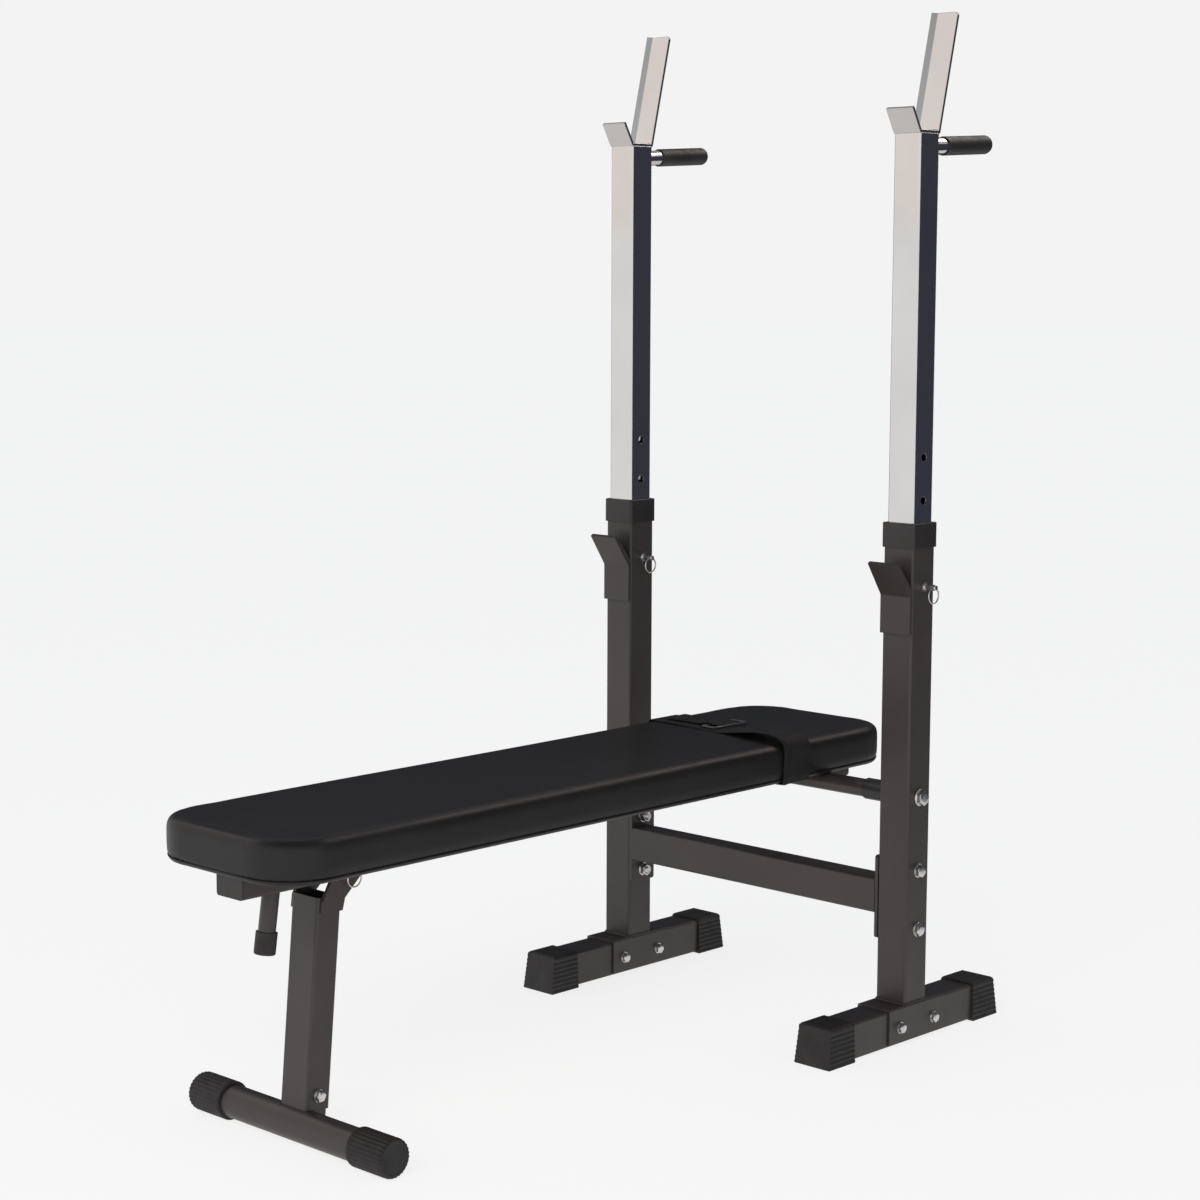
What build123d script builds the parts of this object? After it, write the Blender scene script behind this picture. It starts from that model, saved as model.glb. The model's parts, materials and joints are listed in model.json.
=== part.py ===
"""Folding bench press with two height-adjustable chromed bar masts and a hinged padded bench.

Millimetres, +Z up. X runs across the bench, Y along it with the foot end towards -Y, and the
two posts stand on the line Y = 0. The last step moves every piece so that the origin is the
centre of the bottom of the whole object's box.
"""
import math
import os

from build123d import *

# ---- driving dimensions -------------------------------------------------------------------
POST_X = 261.0            # post centre, each side of the middle
POST = 50.0               # post section, square
POST_WALL = 2.0
POST_TOP = 712.0
SADDLE_TOP = 55.5

RAIL = 50.0               # foot rail section, square
RAIL_LOW = 2.5            # the rail's underside, held off the floor by its end boots
RAIL_FRONT, RAIL_BACK = -186.0, 179.0
SADDLE_HALF = 62.0
SADDLE_PLATE = 3.0
SADDLE_BOLT_Y = 38.0
SADDLE_BOLT_Z = 27.0

BEAM_TOP, BEAM_LOW = 227.5, 177.5
BEAM_FRONT, BEAM_BACK = -26.0, 12.0
END_PLATE = 5.0
END_PLATE_LOW, END_PLATE_TOP = 142.0, 260.0
BEAM_BOLT_Z = (159.5, 243.0)

PIVOT_Z = 346.5           # bench hinge, on the posts' centre line
PIVOT_TUBE_D = 25.4
PIVOT_BUSH_D = 30.0
PIVOT_BUSH_IN = 196.0     # inner end of each bush
PIVOT_BUSH_OUT = 234.6
PIVOT_BOLT_D = 12.0

MAST = 44.0               # chromed mast section, square
MAST_WALL = 2.0
MAST_LOW, MAST_TOP = 590.0, 1252.0
MAST_STEP = 59.0          # spacing of the four height holes
LOCK_Z = 640.0
COLLAR_LOW, COLLAR_TOP = 693.5, 727.5
COLLAR = 55.0

REST_PLATE = 4.0          # bar rest plate
LIP_LENGTH, LIP_ANGLE = 37.0, 30.0
CATCH_LENGTH, CATCH_ANGLE = 168.0, 13.5
CATCH_CORNER = 5.0

GRIP_ROD_D = 22.0
GRIP_D = 26.0
GRIP_DROP = 16.5          # handle centre below the mast top
GRIP_TILT = 3.0
GRIP_START, GRIP_END = 58.0, 163.0

HOOK_PLATE = 5.0
HOOK_LOW, HOOK_BEND, HOOK_TOP = 575.0, 628.0, 673.0
HOOK_REACH = 30.0         # how far the lip's tip stands out from the plate

PAD_HALF = 136.0
PAD_FRONT, PAD_BACK = -1010.0, 150.0
PAD_LOW, PAD_TOP = 361.5, 414.0
PAD_CORNER = 72.0
PAD_EDGE = 13.0
COVER = 1.2               # vinyl thickness
BOARD = 12.0
BOARD_INSET = 6.0

SPINE_HALF = 24.5
SPINE_LOW, SPINE_TOP = 326.5, 361.5
SPINE_FRONT, SPINE_BACK = -980.0, 109.0
SPINE_WALL = 2.0
BRACKET_HALF = 76.0
ARM_YS = (-620.0, -270.0)  # arms under the board
STRAP_HALF_WIDTH = 25.0
STRAP_Y = -77.5
STRAP = 1.6
STRAP_SKEW = 4.4          # degrees the strap lies askew across the pad
STRAP_CLEAR = 2.7
# the loose right-hand side of the strap's loop, (x, z) from the middle of the pad's top down
STRAP_SLACK = [(15, 414.3), (45, 417), (78, 421), (104, 423.6), (122, 423.2), (134, 418.5),
               (140, 410), (140.6, 398), (139, 380)]
BUCKLE_X, BUCKLE_Y = (-36.0, -8.0), (-92.0, -20.0)

LEG_HINGE = (-799.0, 345.0)     # (y, z)
LEG_LOCK = (-818.0, 340.0)
LEG_HALF = 25.0
LEG_DEPTH = 38.0
LEG_TOP_MID = (-847.0, 308.0)   # leg centre line, top and bottom
LEG_LOW_MID = (-870.5, 44.0)
EAR = 5.0
FOOT_Y, FOOT_Z = -886.0, 25.0
FOOT_D = 42.0
FOOT_HALF = 184.0
FOOT_CAP_D = 50.0
FOOT_CAP_IN = 122.0

PIN_D = 8.0
PIN_REACH = 22.0          # mast pin's end beyond the post
LEG_PIN_REACH = 12.0      # leg pin's end beyond its ear
RING_HOLE = 4.5           # cross hole for the ring, back from the pin's end
RING_R = 11.0             # ring wire centre line
RING_WIRE = 1.0
FIT = 0.06                # running clearance on a hinge pin, per side

NODES = {}


# ---- small helpers ------------------------------------------------------------------------
def block(x0, x1, y0, y1, z0, z1):
    """A box between two corners."""
    centre = Pos((x0 + x1) / 2, (y0 + y1) / 2, (z0 + z1) / 2)
    return centre * Box(x1 - x0, y1 - y0, z1 - z0)


def rod_x(radius, x0, x1, y, z):
    """A round bar along X."""
    return Pos((x0 + x1) / 2, y, z) * Rot(0, 90, 0) * Cylinder(radius, abs(x1 - x0))


def hex_x(across_flats, x0, x1, y, z):
    """A hexagon bar along X, for bolt heads and nuts."""
    outline = RegularPolygon(across_flats / 2, 6, major_radius=False)
    return Pos(min(x0, x1), y, z) * Rot(0, 90, 0) * extrude(outline, amount=abs(x1 - x0))


def square_tube(width, depth, wall, length, corner=4.0):
    """A rectangular tube standing on the origin along +Z, with rounded corners."""
    inside = RectangleRounded(width - 2 * wall, depth - 2 * wall, corner - wall + 0.3)
    return extrude(RectangleRounded(width, depth, corner) - inside, amount=length)


def side_plate(points, x0, x1):
    """A flat plate from an outline in (y, z), between two X positions."""
    face = make_face(Polyline([(0, y, z) for y, z in points], close=True))
    return Pos(x0, 0, 0) * extrude(face, amount=x1 - x0, dir=(1, 0, 0))


def bolt(head, nut, across, diameter, y, z, washer=1.6, grip=8.0):
    """A bolt along X from its head's seat to its nut's seat: bolt with head, nut, two washers."""
    out = 1 if head > nut else -1
    thick = diameter * 0.62
    seat_head = head + out * washer
    seat_nut = nut - out * washer
    end = seat_nut - out * (grip + 2)
    shank = rod_x(diameter / 2, end, seat_head + out * 0.5, y, z)
    body = shank + hex_x(across, seat_head, seat_head + out * thick, y, z)
    nut_solid = hex_x(across, seat_nut, seat_nut - out * grip, y, z)
    nut_solid -= rod_x(diameter / 2, seat_nut + out, seat_nut - out * (grip + 1), y, z)
    rings = []
    for seat in (head, seat_nut):
        ring = rod_x(across * 0.62, seat, seat + out * washer, y, z)
        rings.append(ring - rod_x(diameter / 2, seat - 3, seat + 3, y, z))
    return body, nut_solid, rings


def keep(name, *pieces):
    """Store a node: one solid, or a group of separate alike solids."""
    NODES[name] = [solid for piece in pieces for solid in piece.solids()]


# ---- stand --------------------------------------------------------------------------------
def post(side):
    centre = side * POST_X
    tube = Pos(centre, 0, SADDLE_TOP) * square_tube(POST, POST, POST_WALL, POST_TOP - SADDLE_TOP)
    reach = POST / 2 + 1
    for z in BEAM_BOLT_Z:
        tube -= rod_x(5.0, centre - reach, centre + reach, 0, z)
    tube -= rod_x(PIVOT_BOLT_D / 2, centre - reach, centre + reach, 0, PIVOT_Z)
    return tube - rod_x(PIN_D / 2 + FIT, centre, centre + reach, 0, LOCK_Z)


def collar(side):
    """Plastic guide: a cap round the post's top with a sleeve down between post and mast."""
    centre = side * POST_X
    bore = MAST + 0.2
    inner = POST - 2 * POST_WALL
    cap = extrude(RectangleRounded(COLLAR, COLLAR, 5), amount=COLLAR_TOP - COLLAR_LOW)
    cap = fillet(cap.edges().group_by(Axis.Z)[-1], 1.5)
    solid = Pos(centre, 0, COLLAR_LOW) * cap
    post_top = extrude(RectangleRounded(POST, POST, 4), amount=POST_TOP - COLLAR_LOW + 1)
    solid -= Pos(centre, 0, COLLAR_LOW - 1) * post_top
    sleeve_low = LOCK_Z - 35
    sleeve = extrude(RectangleRounded(inner, inner, 2.3), amount=COLLAR_TOP - 4 - sleeve_low)
    solid += Pos(centre, 0, sleeve_low) * sleeve
    passage = extrude(RectangleRounded(bore, bore, 2.0), amount=200)
    solid -= Pos(centre, 0, sleeve_low - 1) * passage
    return solid - rod_x(PIN_D / 2 + FIT, centre, centre + POST / 2, 0, LOCK_Z)


def saddle(side):
    """Folded plate over the foot rail, with the post welded on top."""
    half = RAIL / 2 + SADDLE_PLATE
    plate = block(-half, half, -SADDLE_HALF, SADDLE_HALF, RAIL_LOW + 3, SADDLE_TOP)
    plate = fillet(plate.edges().filter_by(Axis.Y).group_by(Axis.Z)[-1], 2.5)
    plate -= block(-RAIL / 2, RAIL / 2, -SADDLE_HALF - 1, SADDLE_HALF + 1, 0, RAIL_LOW + RAIL)
    for y in (-SADDLE_BOLT_Y, SADDLE_BOLT_Y):
        plate -= rod_x(4.0, -half - 1, half + 1, y, SADDLE_BOLT_Z)
    return Pos(side * POST_X, 0, 0) * plate


def foot_rail(side):
    length = RAIL_BACK - RAIL_FRONT
    tube = square_tube(RAIL, RAIL, 2.0, length, corner=2.4)
    tube = Pos(0, RAIL_BACK, RAIL_LOW + RAIL / 2) * Rot(90, 0, 0) * tube
    for y in (-SADDLE_BOLT_Y, SADDLE_BOLT_Y):
        tube -= rod_x(4.0, -RAIL, RAIL, y, SADDLE_BOLT_Z)
    return Pos(side * POST_X, 0, 0) * tube


def boot(side, end):
    """Rubber end boot: flared towards the floor, a plain end face and level ribs on both sides."""
    rib_count = 7
    top, low_half, top_half = RAIL_LOW + RAIL + 3.0, 30.5, 28.0
    tip = RAIL_BACK + 5 if end > 0 else RAIL_FRONT - 5
    length, toe = 50.0, 7.0

    def ribbed(half_at):
        """Right-hand outline from the floor up, waved in and out at each rib."""
        points = []
        for i in range(rib_count):
            z = 2 + (top - 8) * i / rib_count
            pitch = (top - 8) / rib_count
            points += [(half_at(z), z), (half_at(z) - 1.0, z + pitch * 0.55), (half_at(z + pitch), z + pitch)]
        return points

    width = ribbed(lambda z: low_half + (top_half - low_half) * z / top)
    section = [(-x, z) for x, z in width][::-1] + [(-low_half + 1, 0), (low_half - 1, 0)] + width
    section += [(top_half, top - 3), (top_half - 3, top), (-top_half + 3, top), (-top_half, top - 3)]
    section = [p for i, p in enumerate(section) if i == 0 or math.dist(p, section[i - 1]) > 0.01]
    across = extrude(make_face(Polyline([(x, 0, z) for x, z in section], close=True)), amount=200, both=True)
    profile = [(0, 0), (length + toe - 1, 0), (length + toe, 1), (length, top - 2),
               (length - 2, top), (0, top)]
    along = side_plate(profile, -60, 60)
    if end < 0:
        along = mirror(along, about=Plane.XZ)
    start = tip - end * length
    solid = across & (Pos(0, start, 0) * along)
    pocket = RAIL / 2
    rail_tip = RAIL_BACK if end > 0 else RAIL_FRONT
    solid -= block(-pocket, pocket, *sorted((start - end, rail_tip)), RAIL_LOW, RAIL_LOW + RAIL)
    return Pos(side * POST_X, 0, 0) * solid


def cross_beam():
    half = POST_X - POST / 2 - END_PLATE
    tube = square_tube(BEAM_TOP - BEAM_LOW, BEAM_BACK - BEAM_FRONT, 2.0, 2 * half)
    mid_y, mid_z = (BEAM_FRONT + BEAM_BACK) / 2, (BEAM_TOP + BEAM_LOW) / 2
    tube = Pos(-half, mid_y, mid_z) * Rot(0, 90, 0) * tube
    return tube - Pos(45, mid_y, BEAM_TOP) * Cylinder(4.0, 10)


def end_plate(side):
    inner = side * (POST_X - POST / 2)
    x0, x1 = sorted((inner, inner - side * END_PLATE))
    plate = block(x0, x1, -POST / 2, POST / 2, END_PLATE_LOW, END_PLATE_TOP)
    plate = fillet(plate.edges().filter_by(Axis.X), 4)
    for z in BEAM_BOLT_Z:
        plate -= rod_x(5.0, inner - 10, inner + 10, 0, z)
    return plate


def j_hook(side):
    """Bent plate on the post's front: a flat back and a lip that leans out and up."""
    y_back = -POST / 2
    y_face = y_back - HOOK_PLATE
    tip = y_face - HOOK_REACH
    lean = math.atan2(HOOK_REACH, HOOK_TOP - HOOK_BEND)
    dy, dz = HOOK_PLATE * math.cos(lean), HOOK_PLATE * math.sin(lean)
    outline = [(y_back, HOOK_LOW), (y_face, HOOK_LOW), (y_face, HOOK_BEND), (tip, HOOK_TOP),
               (tip + dy, HOOK_TOP + dz), (y_back, HOOK_BEND + 8.5)]
    plate = side_plate(outline, -POST / 2, POST / 2)
    bend = [e for e in plate.edges().filter_by(Axis.X) if abs(e.center().Y - y_face) < 0.1
            and abs(e.center().Z - HOOK_BEND) < 0.1]
    return Pos(side * POST_X, 0, 0) * fillet(bend, 4)


def build_stand():
    bolts, nuts, washers = [], [], []
    saddle_bolts, saddle_nuts = [], []
    for side, word in ((-1, "left"), (1, "right")):
        keep(f"post_{word}", post(side))
        keep(f"collar_{word}", collar(side))
        keep(f"foot_rail_{word}", foot_rail(side))
        keep(f"j_hook_{word}", j_hook(side))
        outer = side * (POST_X + POST / 2)
        inner = side * (POST_X - POST / 2 - END_PLATE)
        for z in BEAM_BOLT_Z:
            body, nut, rings = bolt(outer, inner, 16, 10, 0, z)
            bolts.append(body)
            nuts.append(nut)
            washers += rings
        half = RAIL / 2 + SADDLE_PLATE
        for y in (-SADDLE_BOLT_Y, SADDLE_BOLT_Y):
            edge = (side * POST_X + half, side * POST_X - half)
            body, nut, rings = bolt(*edge, 13, 8, y, SADDLE_BOLT_Z, grip=6.0)
            saddle_bolts.append(body)
            saddle_nuts.append(nut)
            washers += rings
    keep("saddles", saddle(-1), saddle(1))
    keep("end_plates", end_plate(-1), end_plate(1))
    keep("boots", *[boot(side, end) for side in (-1, 1) for end in (-1, 1)])
    keep("cross_beam", cross_beam())
    keep("beam_bolts", *bolts)
    keep("beam_nuts", *nuts)
    keep("saddle_bolts", *saddle_bolts)
    keep("saddle_nuts", *saddle_nuts)
    keep("frame_washers", *washers)
    build_pivot_bolts()


def build_pivot_bolts():
    """Hinge bolts through the posts into the bench's bushes, and the washers between them."""
    bolts, thrust = [], []
    for side in (-1, 1):
        outer = side * (POST_X + POST / 2)
        seat = outer + side * 2.5
        shank = rod_x(PIVOT_BOLT_D / 2, side * (PIVOT_BUSH_IN + 4), seat + side * 0.5, 0, PIVOT_Z)
        head = hex_x(19, seat, seat + side * 7.5, 0, PIVOT_Z)
        flange = rod_x(12, outer, seat, 0, PIVOT_Z)
        bolts.append(shank + head + flange)
        inner = side * (POST_X - POST / 2)
        ring = rod_x(15, inner, inner - side, 0, PIVOT_Z)
        thrust.append(ring - rod_x(PIVOT_BOLT_D / 2, inner - 5, inner + 5, 0, PIVOT_Z))
    keep("pivot_bolts", *bolts)
    keep("thrust_washers", *thrust)


# ---- masts --------------------------------------------------------------------------------
def mast_tube(side):
    centre = side * POST_X
    tube = Pos(centre, 0, MAST_LOW) * square_tube(MAST, MAST, MAST_WALL, MAST_TOP - MAST_LOW)
    for step in range(4):
        tube -= rod_x(5.5, centre - MAST, centre + MAST, 0, LOCK_Z + step * MAST_STEP)
    return tube


def bar_rest(side):
    """Bar cradle: base plate, short lip at the front and a long catch leaning back."""
    half = MAST / 2
    lean = math.radians(LIP_ANGLE)
    out_y, up_z = math.sin(lean), math.cos(lean)
    tip = (-half - LIP_LENGTH * out_y, MAST_TOP + LIP_LENGTH * up_z)
    inner_tip = (tip[0] + REST_PLATE * up_z, tip[1] + REST_PLATE * out_y)
    bend = REST_PLATE * math.tan(math.radians(90 - LIP_ANGLE) / 2)
    outline = [(-half, MAST_TOP), tip, inner_tip, (-half + bend, MAST_TOP + REST_PLATE),
               (half - 2, MAST_TOP + REST_PLATE), (half - 2, MAST_TOP)]
    cradle = side_plate(outline, -half, half)
    fold = math.radians(25)
    strip = 9.0
    edge = (-11 - strip * math.cos(fold), -strip * math.sin(fold))
    section = [(half, 0), (-11, 0), edge,
               (edge[0] - REST_PLATE * math.sin(fold), edge[1] + REST_PLATE * math.cos(fold)),
               (-11 - REST_PLATE * math.tan(fold / 2), REST_PLATE), (half, REST_PLATE)]
    catch = extrude(make_face(Polyline(*[(x, y) for x, y in section], close=True)), amount=CATCH_LENGTH)
    corners = catch.edges().filter_by(Axis.Y).group_by(Axis.Z)[-1]
    catch = fillet(corners.group_by(Axis.X)[-1], CATCH_CORNER)
    catch = Pos(0, half - REST_PLATE, MAST_TOP) * Rot(-CATCH_ANGLE, 0, 0) * catch
    catch -= block(-50, 50, -50, 100, MAST_TOP - 20, MAST_TOP)
    return Pos(side * POST_X, 0, 0) * (cradle + catch)


def handle_axis(side):
    """Placement of the handle's own frame: +Z along the handle, out of the mast's back."""
    return Pos(side * POST_X, MAST / 2, MAST_TOP - GRIP_DROP) * Rot(-90 + GRIP_TILT, 0, 0)


def handle_rod(side):
    rod = handle_axis(side) * Pos(0, 0, 62) * Cylinder(GRIP_ROD_D / 2, 136)
    return rod - block(side * POST_X - 40, side * POST_X + 40, -60, MAST / 2, MAST_TOP - 60, MAST_TOP + 60)


def grip(side):
    length = GRIP_END - GRIP_START
    sleeve = Cylinder(GRIP_D / 2, length)
    sleeve = fillet(sleeve.edges().group_by(Axis.Z)[-1], 9)
    sleeve = fillet(sleeve.edges().group_by(Axis.Z)[0], 1)
    sleeve = handle_axis(side) * Pos(0, 0, GRIP_START - MAST / 2 + length / 2) * sleeve
    return sleeve - handle_axis(side) * Pos(0, 0, 62) * Cylinder(GRIP_ROD_D / 2, 136)


def mast_plug(side):
    """Plastic plug in the mast's lower end."""
    inside = MAST - 2 * MAST_WALL
    plug = extrude(RectangleRounded(MAST - 1, MAST - 1, 3), amount=3)
    plug += Pos(0, 0, 3) * extrude(RectangleRounded(inside, inside, 2.8), amount=16)
    return Pos(side * POST_X, 0, MAST_LOW - 3) * plug


def build_masts():
    for side, word in ((-1, "left"), (1, "right")):
        keep(f"mast_{word}", mast_tube(side))
        keep(f"bar_rest_{word}", bar_rest(side))
        keep(f"handle_rod_{word}", handle_rod(side))
        keep(f"grip_{word}", grip(side))
        keep(f"mast_plug_{word}", mast_plug(side))


# ---- pull pins with rings -----------------------------------------------------------------
def pull_pin(nose, seat, reach, y, z):
    """Round pin along +X from its nose, with a shoulder on the seat and a cross hole for the ring."""
    end = seat + reach
    pin = rod_x(PIN_D / 2, nose, end, y, z)
    pin += rod_x(6.5, seat + 0.2, seat + 4, y, z)
    pin = chamfer(pin.edges().group_by(Axis.X)[-1], 1)
    hole = Pos(end - RING_HOLE, y, z) * Rot(90, 0, 0) * Cylinder(2.1, 20)
    return pin - hole


def pull_ring(seat, reach, y, z):
    """Wire ring hanging from the pin's cross hole, lying in the YZ plane."""
    return Pos(seat + reach - RING_HOLE, y, z - RING_R) * Rot(0, 90, 0) * Torus(RING_R, RING_WIRE)


def build_pins():
    for side, word in ((-1, "left"), (1, "right")):
        seat = side * POST_X + POST / 2
        nose = side * POST_X + MAST / 2 + 0.3
        keep(f"mast_pin_{word}", pull_pin(nose, seat, PIN_REACH, 0, LOCK_Z))
        keep(f"mast_ring_{word}", pull_ring(seat, PIN_REACH, 0, LOCK_Z))
    seat = LEG_HALF + EAR
    keep("leg_pin", pull_pin(LEG_HALF, seat, LEG_PIN_REACH, *LEG_LOCK))
    keep("leg_ring", pull_ring(seat, LEG_PIN_REACH, *LEG_LOCK))


# ---- bench --------------------------------------------------------------------------------
def plan(inset, corner):
    return RectangleRounded(2 * (PAD_HALF - inset), PAD_BACK - PAD_FRONT - 2 * inset, corner)


def pad_block(inset):
    """The pad's form, or the form a given depth inside its skin, standing on the board's underside."""
    block_of = extrude(plan(inset, PAD_CORNER - inset), amount=PAD_TOP - PAD_LOW - inset)
    return fillet(block_of.edges().group_by(Axis.Z)[-1], PAD_EDGE - inset)


def build_pad():
    """Vinyl cover, foam and board, one inside the other."""
    place = Pos(0, (PAD_FRONT + PAD_BACK) / 2, PAD_LOW)
    foam = pad_block(COVER)
    board = extrude(plan(BOARD_INSET, PAD_CORNER - BOARD_INSET), amount=BOARD)
    keep("pad_cover", place * (pad_block(0) - foam))
    keep("pad_foam", place * (foam - board))
    keep("pad_board", place * board)


def spine():
    length = SPINE_BACK - SPINE_FRONT
    tube = square_tube(2 * SPINE_HALF, SPINE_TOP - SPINE_LOW, SPINE_WALL, length)
    tube = Pos(0, SPINE_BACK, (SPINE_TOP + SPINE_LOW) / 2) * Rot(90, 0, 0) * tube
    tube -= rod_x(PIVOT_TUBE_D / 2, -40, 40, 0, PIVOT_Z)
    tube -= rod_x(4.0, -40, 40, *LEG_HINGE)
    return tube - rod_x(PIN_D / 2 + FIT, 0, 40, *LEG_LOCK)


def spine_plug():
    """Plastic plug that closes the spine's foot end."""
    width, height = 2 * SPINE_HALF, SPINE_TOP - SPINE_LOW
    plug = extrude(RectangleRounded(width, height, 4), amount=3)
    inside = RectangleRounded(width - 2 * SPINE_WALL, height - 2 * SPINE_WALL, 2.8)
    plug += Pos(0, 0, -18) * extrude(inside, amount=18)
    return Pos(0, SPINE_FRONT, (SPINE_TOP + SPINE_LOW) / 2) * Rot(90, 0, 0) * plug


def head_bracket():
    """Angle across the spine's head end: a level flange under the board and a flange hanging down."""
    plate = 3.0
    drop = SPINE_TOP - 30
    ends = (-BRACKET_HALF, BRACKET_HALF)
    level = block(*ends, SPINE_BACK - 24, SPINE_BACK + plate, SPINE_TOP - plate, SPINE_TOP)
    level -= block(-SPINE_HALF, SPINE_HALF, SPINE_BACK - 30, SPINE_BACK, 300, 400)
    down = block(*ends, SPINE_BACK, SPINE_BACK + plate, drop, SPINE_TOP)
    return level + fillet(down.edges().filter_by(Axis.Y).group_by(Axis.Z)[0], 6)


def arm_pair(y):
    """Two flat arms welded to the spine's sides under the board."""
    arms = []
    for side in (-1, 1):
        arm = block(*sorted((side * SPINE_HALF, side * 82.0)), y - 16, y + 16, SPINE_TOP - 4, SPINE_TOP)
        arms.append(arm - Pos(side * 66, y, SPINE_TOP) * Cylinder(3.2, 20))
    return arms


def build_bench():
    build_pad()
    keep("spine", spine())
    keep("spine_plug", spine_plug())
    keep("head_bracket", head_bracket())
    keep("pad_arms", *[arm for y in ARM_YS for arm in arm_pair(y)])
    screws = []
    for y in ARM_YS:
        for side in (-1, 1):
            spot = Pos(side * 66, y, SPINE_TOP - 4)
            head = spot * Pos(0, 0, -1.5) * Cylinder(6.5, 3)
            screws.append(head + spot * Pos(0, 0, 2) * Cylinder(3.2, 4))
    keep("pad_screws", *screws)
    bush_reach = 20.0
    bore = PIVOT_TUBE_D / 2 - 2.5
    tube = rod_x(PIVOT_TUBE_D / 2, -PIVOT_BUSH_IN, PIVOT_BUSH_IN, 0, PIVOT_Z)
    keep("pivot_tube", tube - rod_x(bore, -300, 300, 0, PIVOT_Z))
    bushes = []
    for side in (-1, 1):
        bush = rod_x(PIVOT_BUSH_D / 2, side * PIVOT_BUSH_IN, side * PIVOT_BUSH_OUT, 0, PIVOT_Z)
        bush = fillet(bush.edges().group_by(Axis.X)[0 if side > 0 else -1], 1.5)
        bush += rod_x(bore, side * (PIVOT_BUSH_IN - bush_reach), side * (PIVOT_BUSH_IN + 1), 0, PIVOT_Z)
        bushes.append(bush - rod_x(PIVOT_BOLT_D / 2 + FIT, -300, 300, 0, PIVOT_Z))
    keep("pivot_bushes", *bushes)
    build_strap()
    build_stub()
    seat = LEG_HALF + EAR + 0.4
    body, nut, rings = bolt(seat, -seat, 13, 8, *LEG_HINGE, washer=1.2, grip=6.5)
    keep("leg_hinge_bolt", body)
    keep("leg_hinge_nut", nut)
    keep("leg_hinge_washers", *rings)


def ribbon(path, thickness):
    """A thin closed outline that follows a path and thickens it to one side."""
    outer = []
    for i, (x, z) in enumerate(path):
        (x0, z0), (x1, z1) = path[max(i - 1, 0)], path[min(i + 1, len(path) - 1)]
        length = math.dist((x0, z0), (x1, z1))
        outer.append((x - thickness * (z1 - z0) / length, z + thickness * (x1 - x0) / length))
    return path + outer[::-1]


def build_strap():
    """Webbing loop laid loosely and askew round the pad, ending at the spine's sides."""
    side_x = PAD_HALF + STRAP_CLEAR
    low, top = PAD_LOW - STRAP_CLEAR, PAD_TOP + 0.3
    end_x = SPINE_HALF + 4
    turn = PAD_EDGE
    path = [(-end_x, low), (-side_x + 4, low), (-side_x, low + 4)]
    for angle in (180, 157.5, 135, 112.5, 90):
        a = math.radians(angle)
        path.append((-side_x + turn + turn * math.cos(a), top - turn + turn * math.sin(a)))
    path += STRAP_SLACK + [(side_x, low + 4), (side_x - 4, low), (end_x, low)]
    band = make_face(Plane.XZ * Polyline(*ribbon(path, STRAP), close=True))
    band = extrude(band, amount=STRAP_HALF_WIDTH, both=True)
    keep("strap", Pos(0, STRAP_Y, 0) * Rot(0, 0, -STRAP_SKEW) * band)
    low_z = top + STRAP + 0.2
    (x0, x1), (y0, y1), bar = BUCKLE_X, BUCKLE_Y, 4.0
    ring = block(x0, x1, y0, y1, low_z, low_z + 3)
    ring -= block(x0 + bar, x1 - bar, y0 + bar, y1 - bar, low_z - 1, low_z + 4)
    keep("strap_buckle", fillet(ring.edges().filter_by(Axis.Z), 1.5))


def build_stub():
    """Short round handle under the spine's foot end with a rubber tip."""
    lean = 8.5
    frame = Pos(0, -919, SPINE_LOW) * Rot(180 - lean, 0, 0)
    rod = frame * Pos(0, 0, 32) * Cylinder(11, 72)
    keep("stub_handle", rod - block(-30, 30, -960, -880, SPINE_LOW, SPINE_LOW + 40))
    tip = Cylinder(13.5, 28)
    tip = fillet(tip.edges().group_by(Axis.Z)[-1], 2.5)
    tip = frame * Pos(0, 0, 66) * tip
    keep("stub_tip", tip - frame * Pos(0, 0, 32) * Cylinder(11, 72))


# ---- leg ----------------------------------------------------------------------------------
def leg_frame():
    """Placement of the leg's own frame: origin on its lower end, +Z up along the leg."""
    dy, dz = LEG_TOP_MID[0] - LEG_LOW_MID[0], LEG_TOP_MID[1] - LEG_LOW_MID[1]
    return Pos(0, *LEG_LOW_MID) * Rot(-math.degrees(math.atan2(dy, dz)), 0, 0)


def leg_ear(side):
    """Side plate from the leg's top up and back to the hinge bolt."""
    y, z = LEG_HINGE
    outline = [(-862, 306), (-838, 348), (y, z + 12), (y + 12, z), (y + 3, z - 11.6),
               (-827, 305), (-831, 290), (-864, 290)]
    inner = side * LEG_HALF
    x0, x1 = sorted((inner, inner + side * EAR))
    plate = side_plate(outline, x0, x1)
    plate -= rod_x(4.0 + FIT, x0 - 5, x1 + 5, *LEG_HINGE)
    if side > 0:
        plate -= rod_x(PIN_D / 2 + FIT, x0 - 5, x1 + 5, *LEG_LOCK)
    return fillet([e for e in plate.edges().filter_by(Axis.X) if e.length > EAR - 0.1
                   and math.dist((e.center().Y, e.center().Z), outline[1]) < 1], 8)


def foot_cap(side):
    """Ribbed rubber cap on the foot tube's end."""
    start, end = FOOT_CAP_IN, FOOT_HALF
    solid = rod_x(FOOT_CAP_D / 2, side * start, side * end, FOOT_Y, FOOT_Z)
    solid = fillet(solid.edges().group_by(Axis.X)[-1 if side > 0 else 0], 4)
    grooves = 28
    for i in range(grooves):
        turn = 2 * math.pi * i / grooves
        y = FOOT_Y + FOOT_CAP_D / 2 * math.cos(turn)
        z = FOOT_Z + FOOT_CAP_D / 2 * math.sin(turn)
        solid -= rod_x(0.9, side * (start + 4), side * (end - 7), y, z)
    return solid - rod_x(FOOT_D / 2, side * (start - 1), side * (end - 4), FOOT_Y, FOOT_Z)


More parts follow.
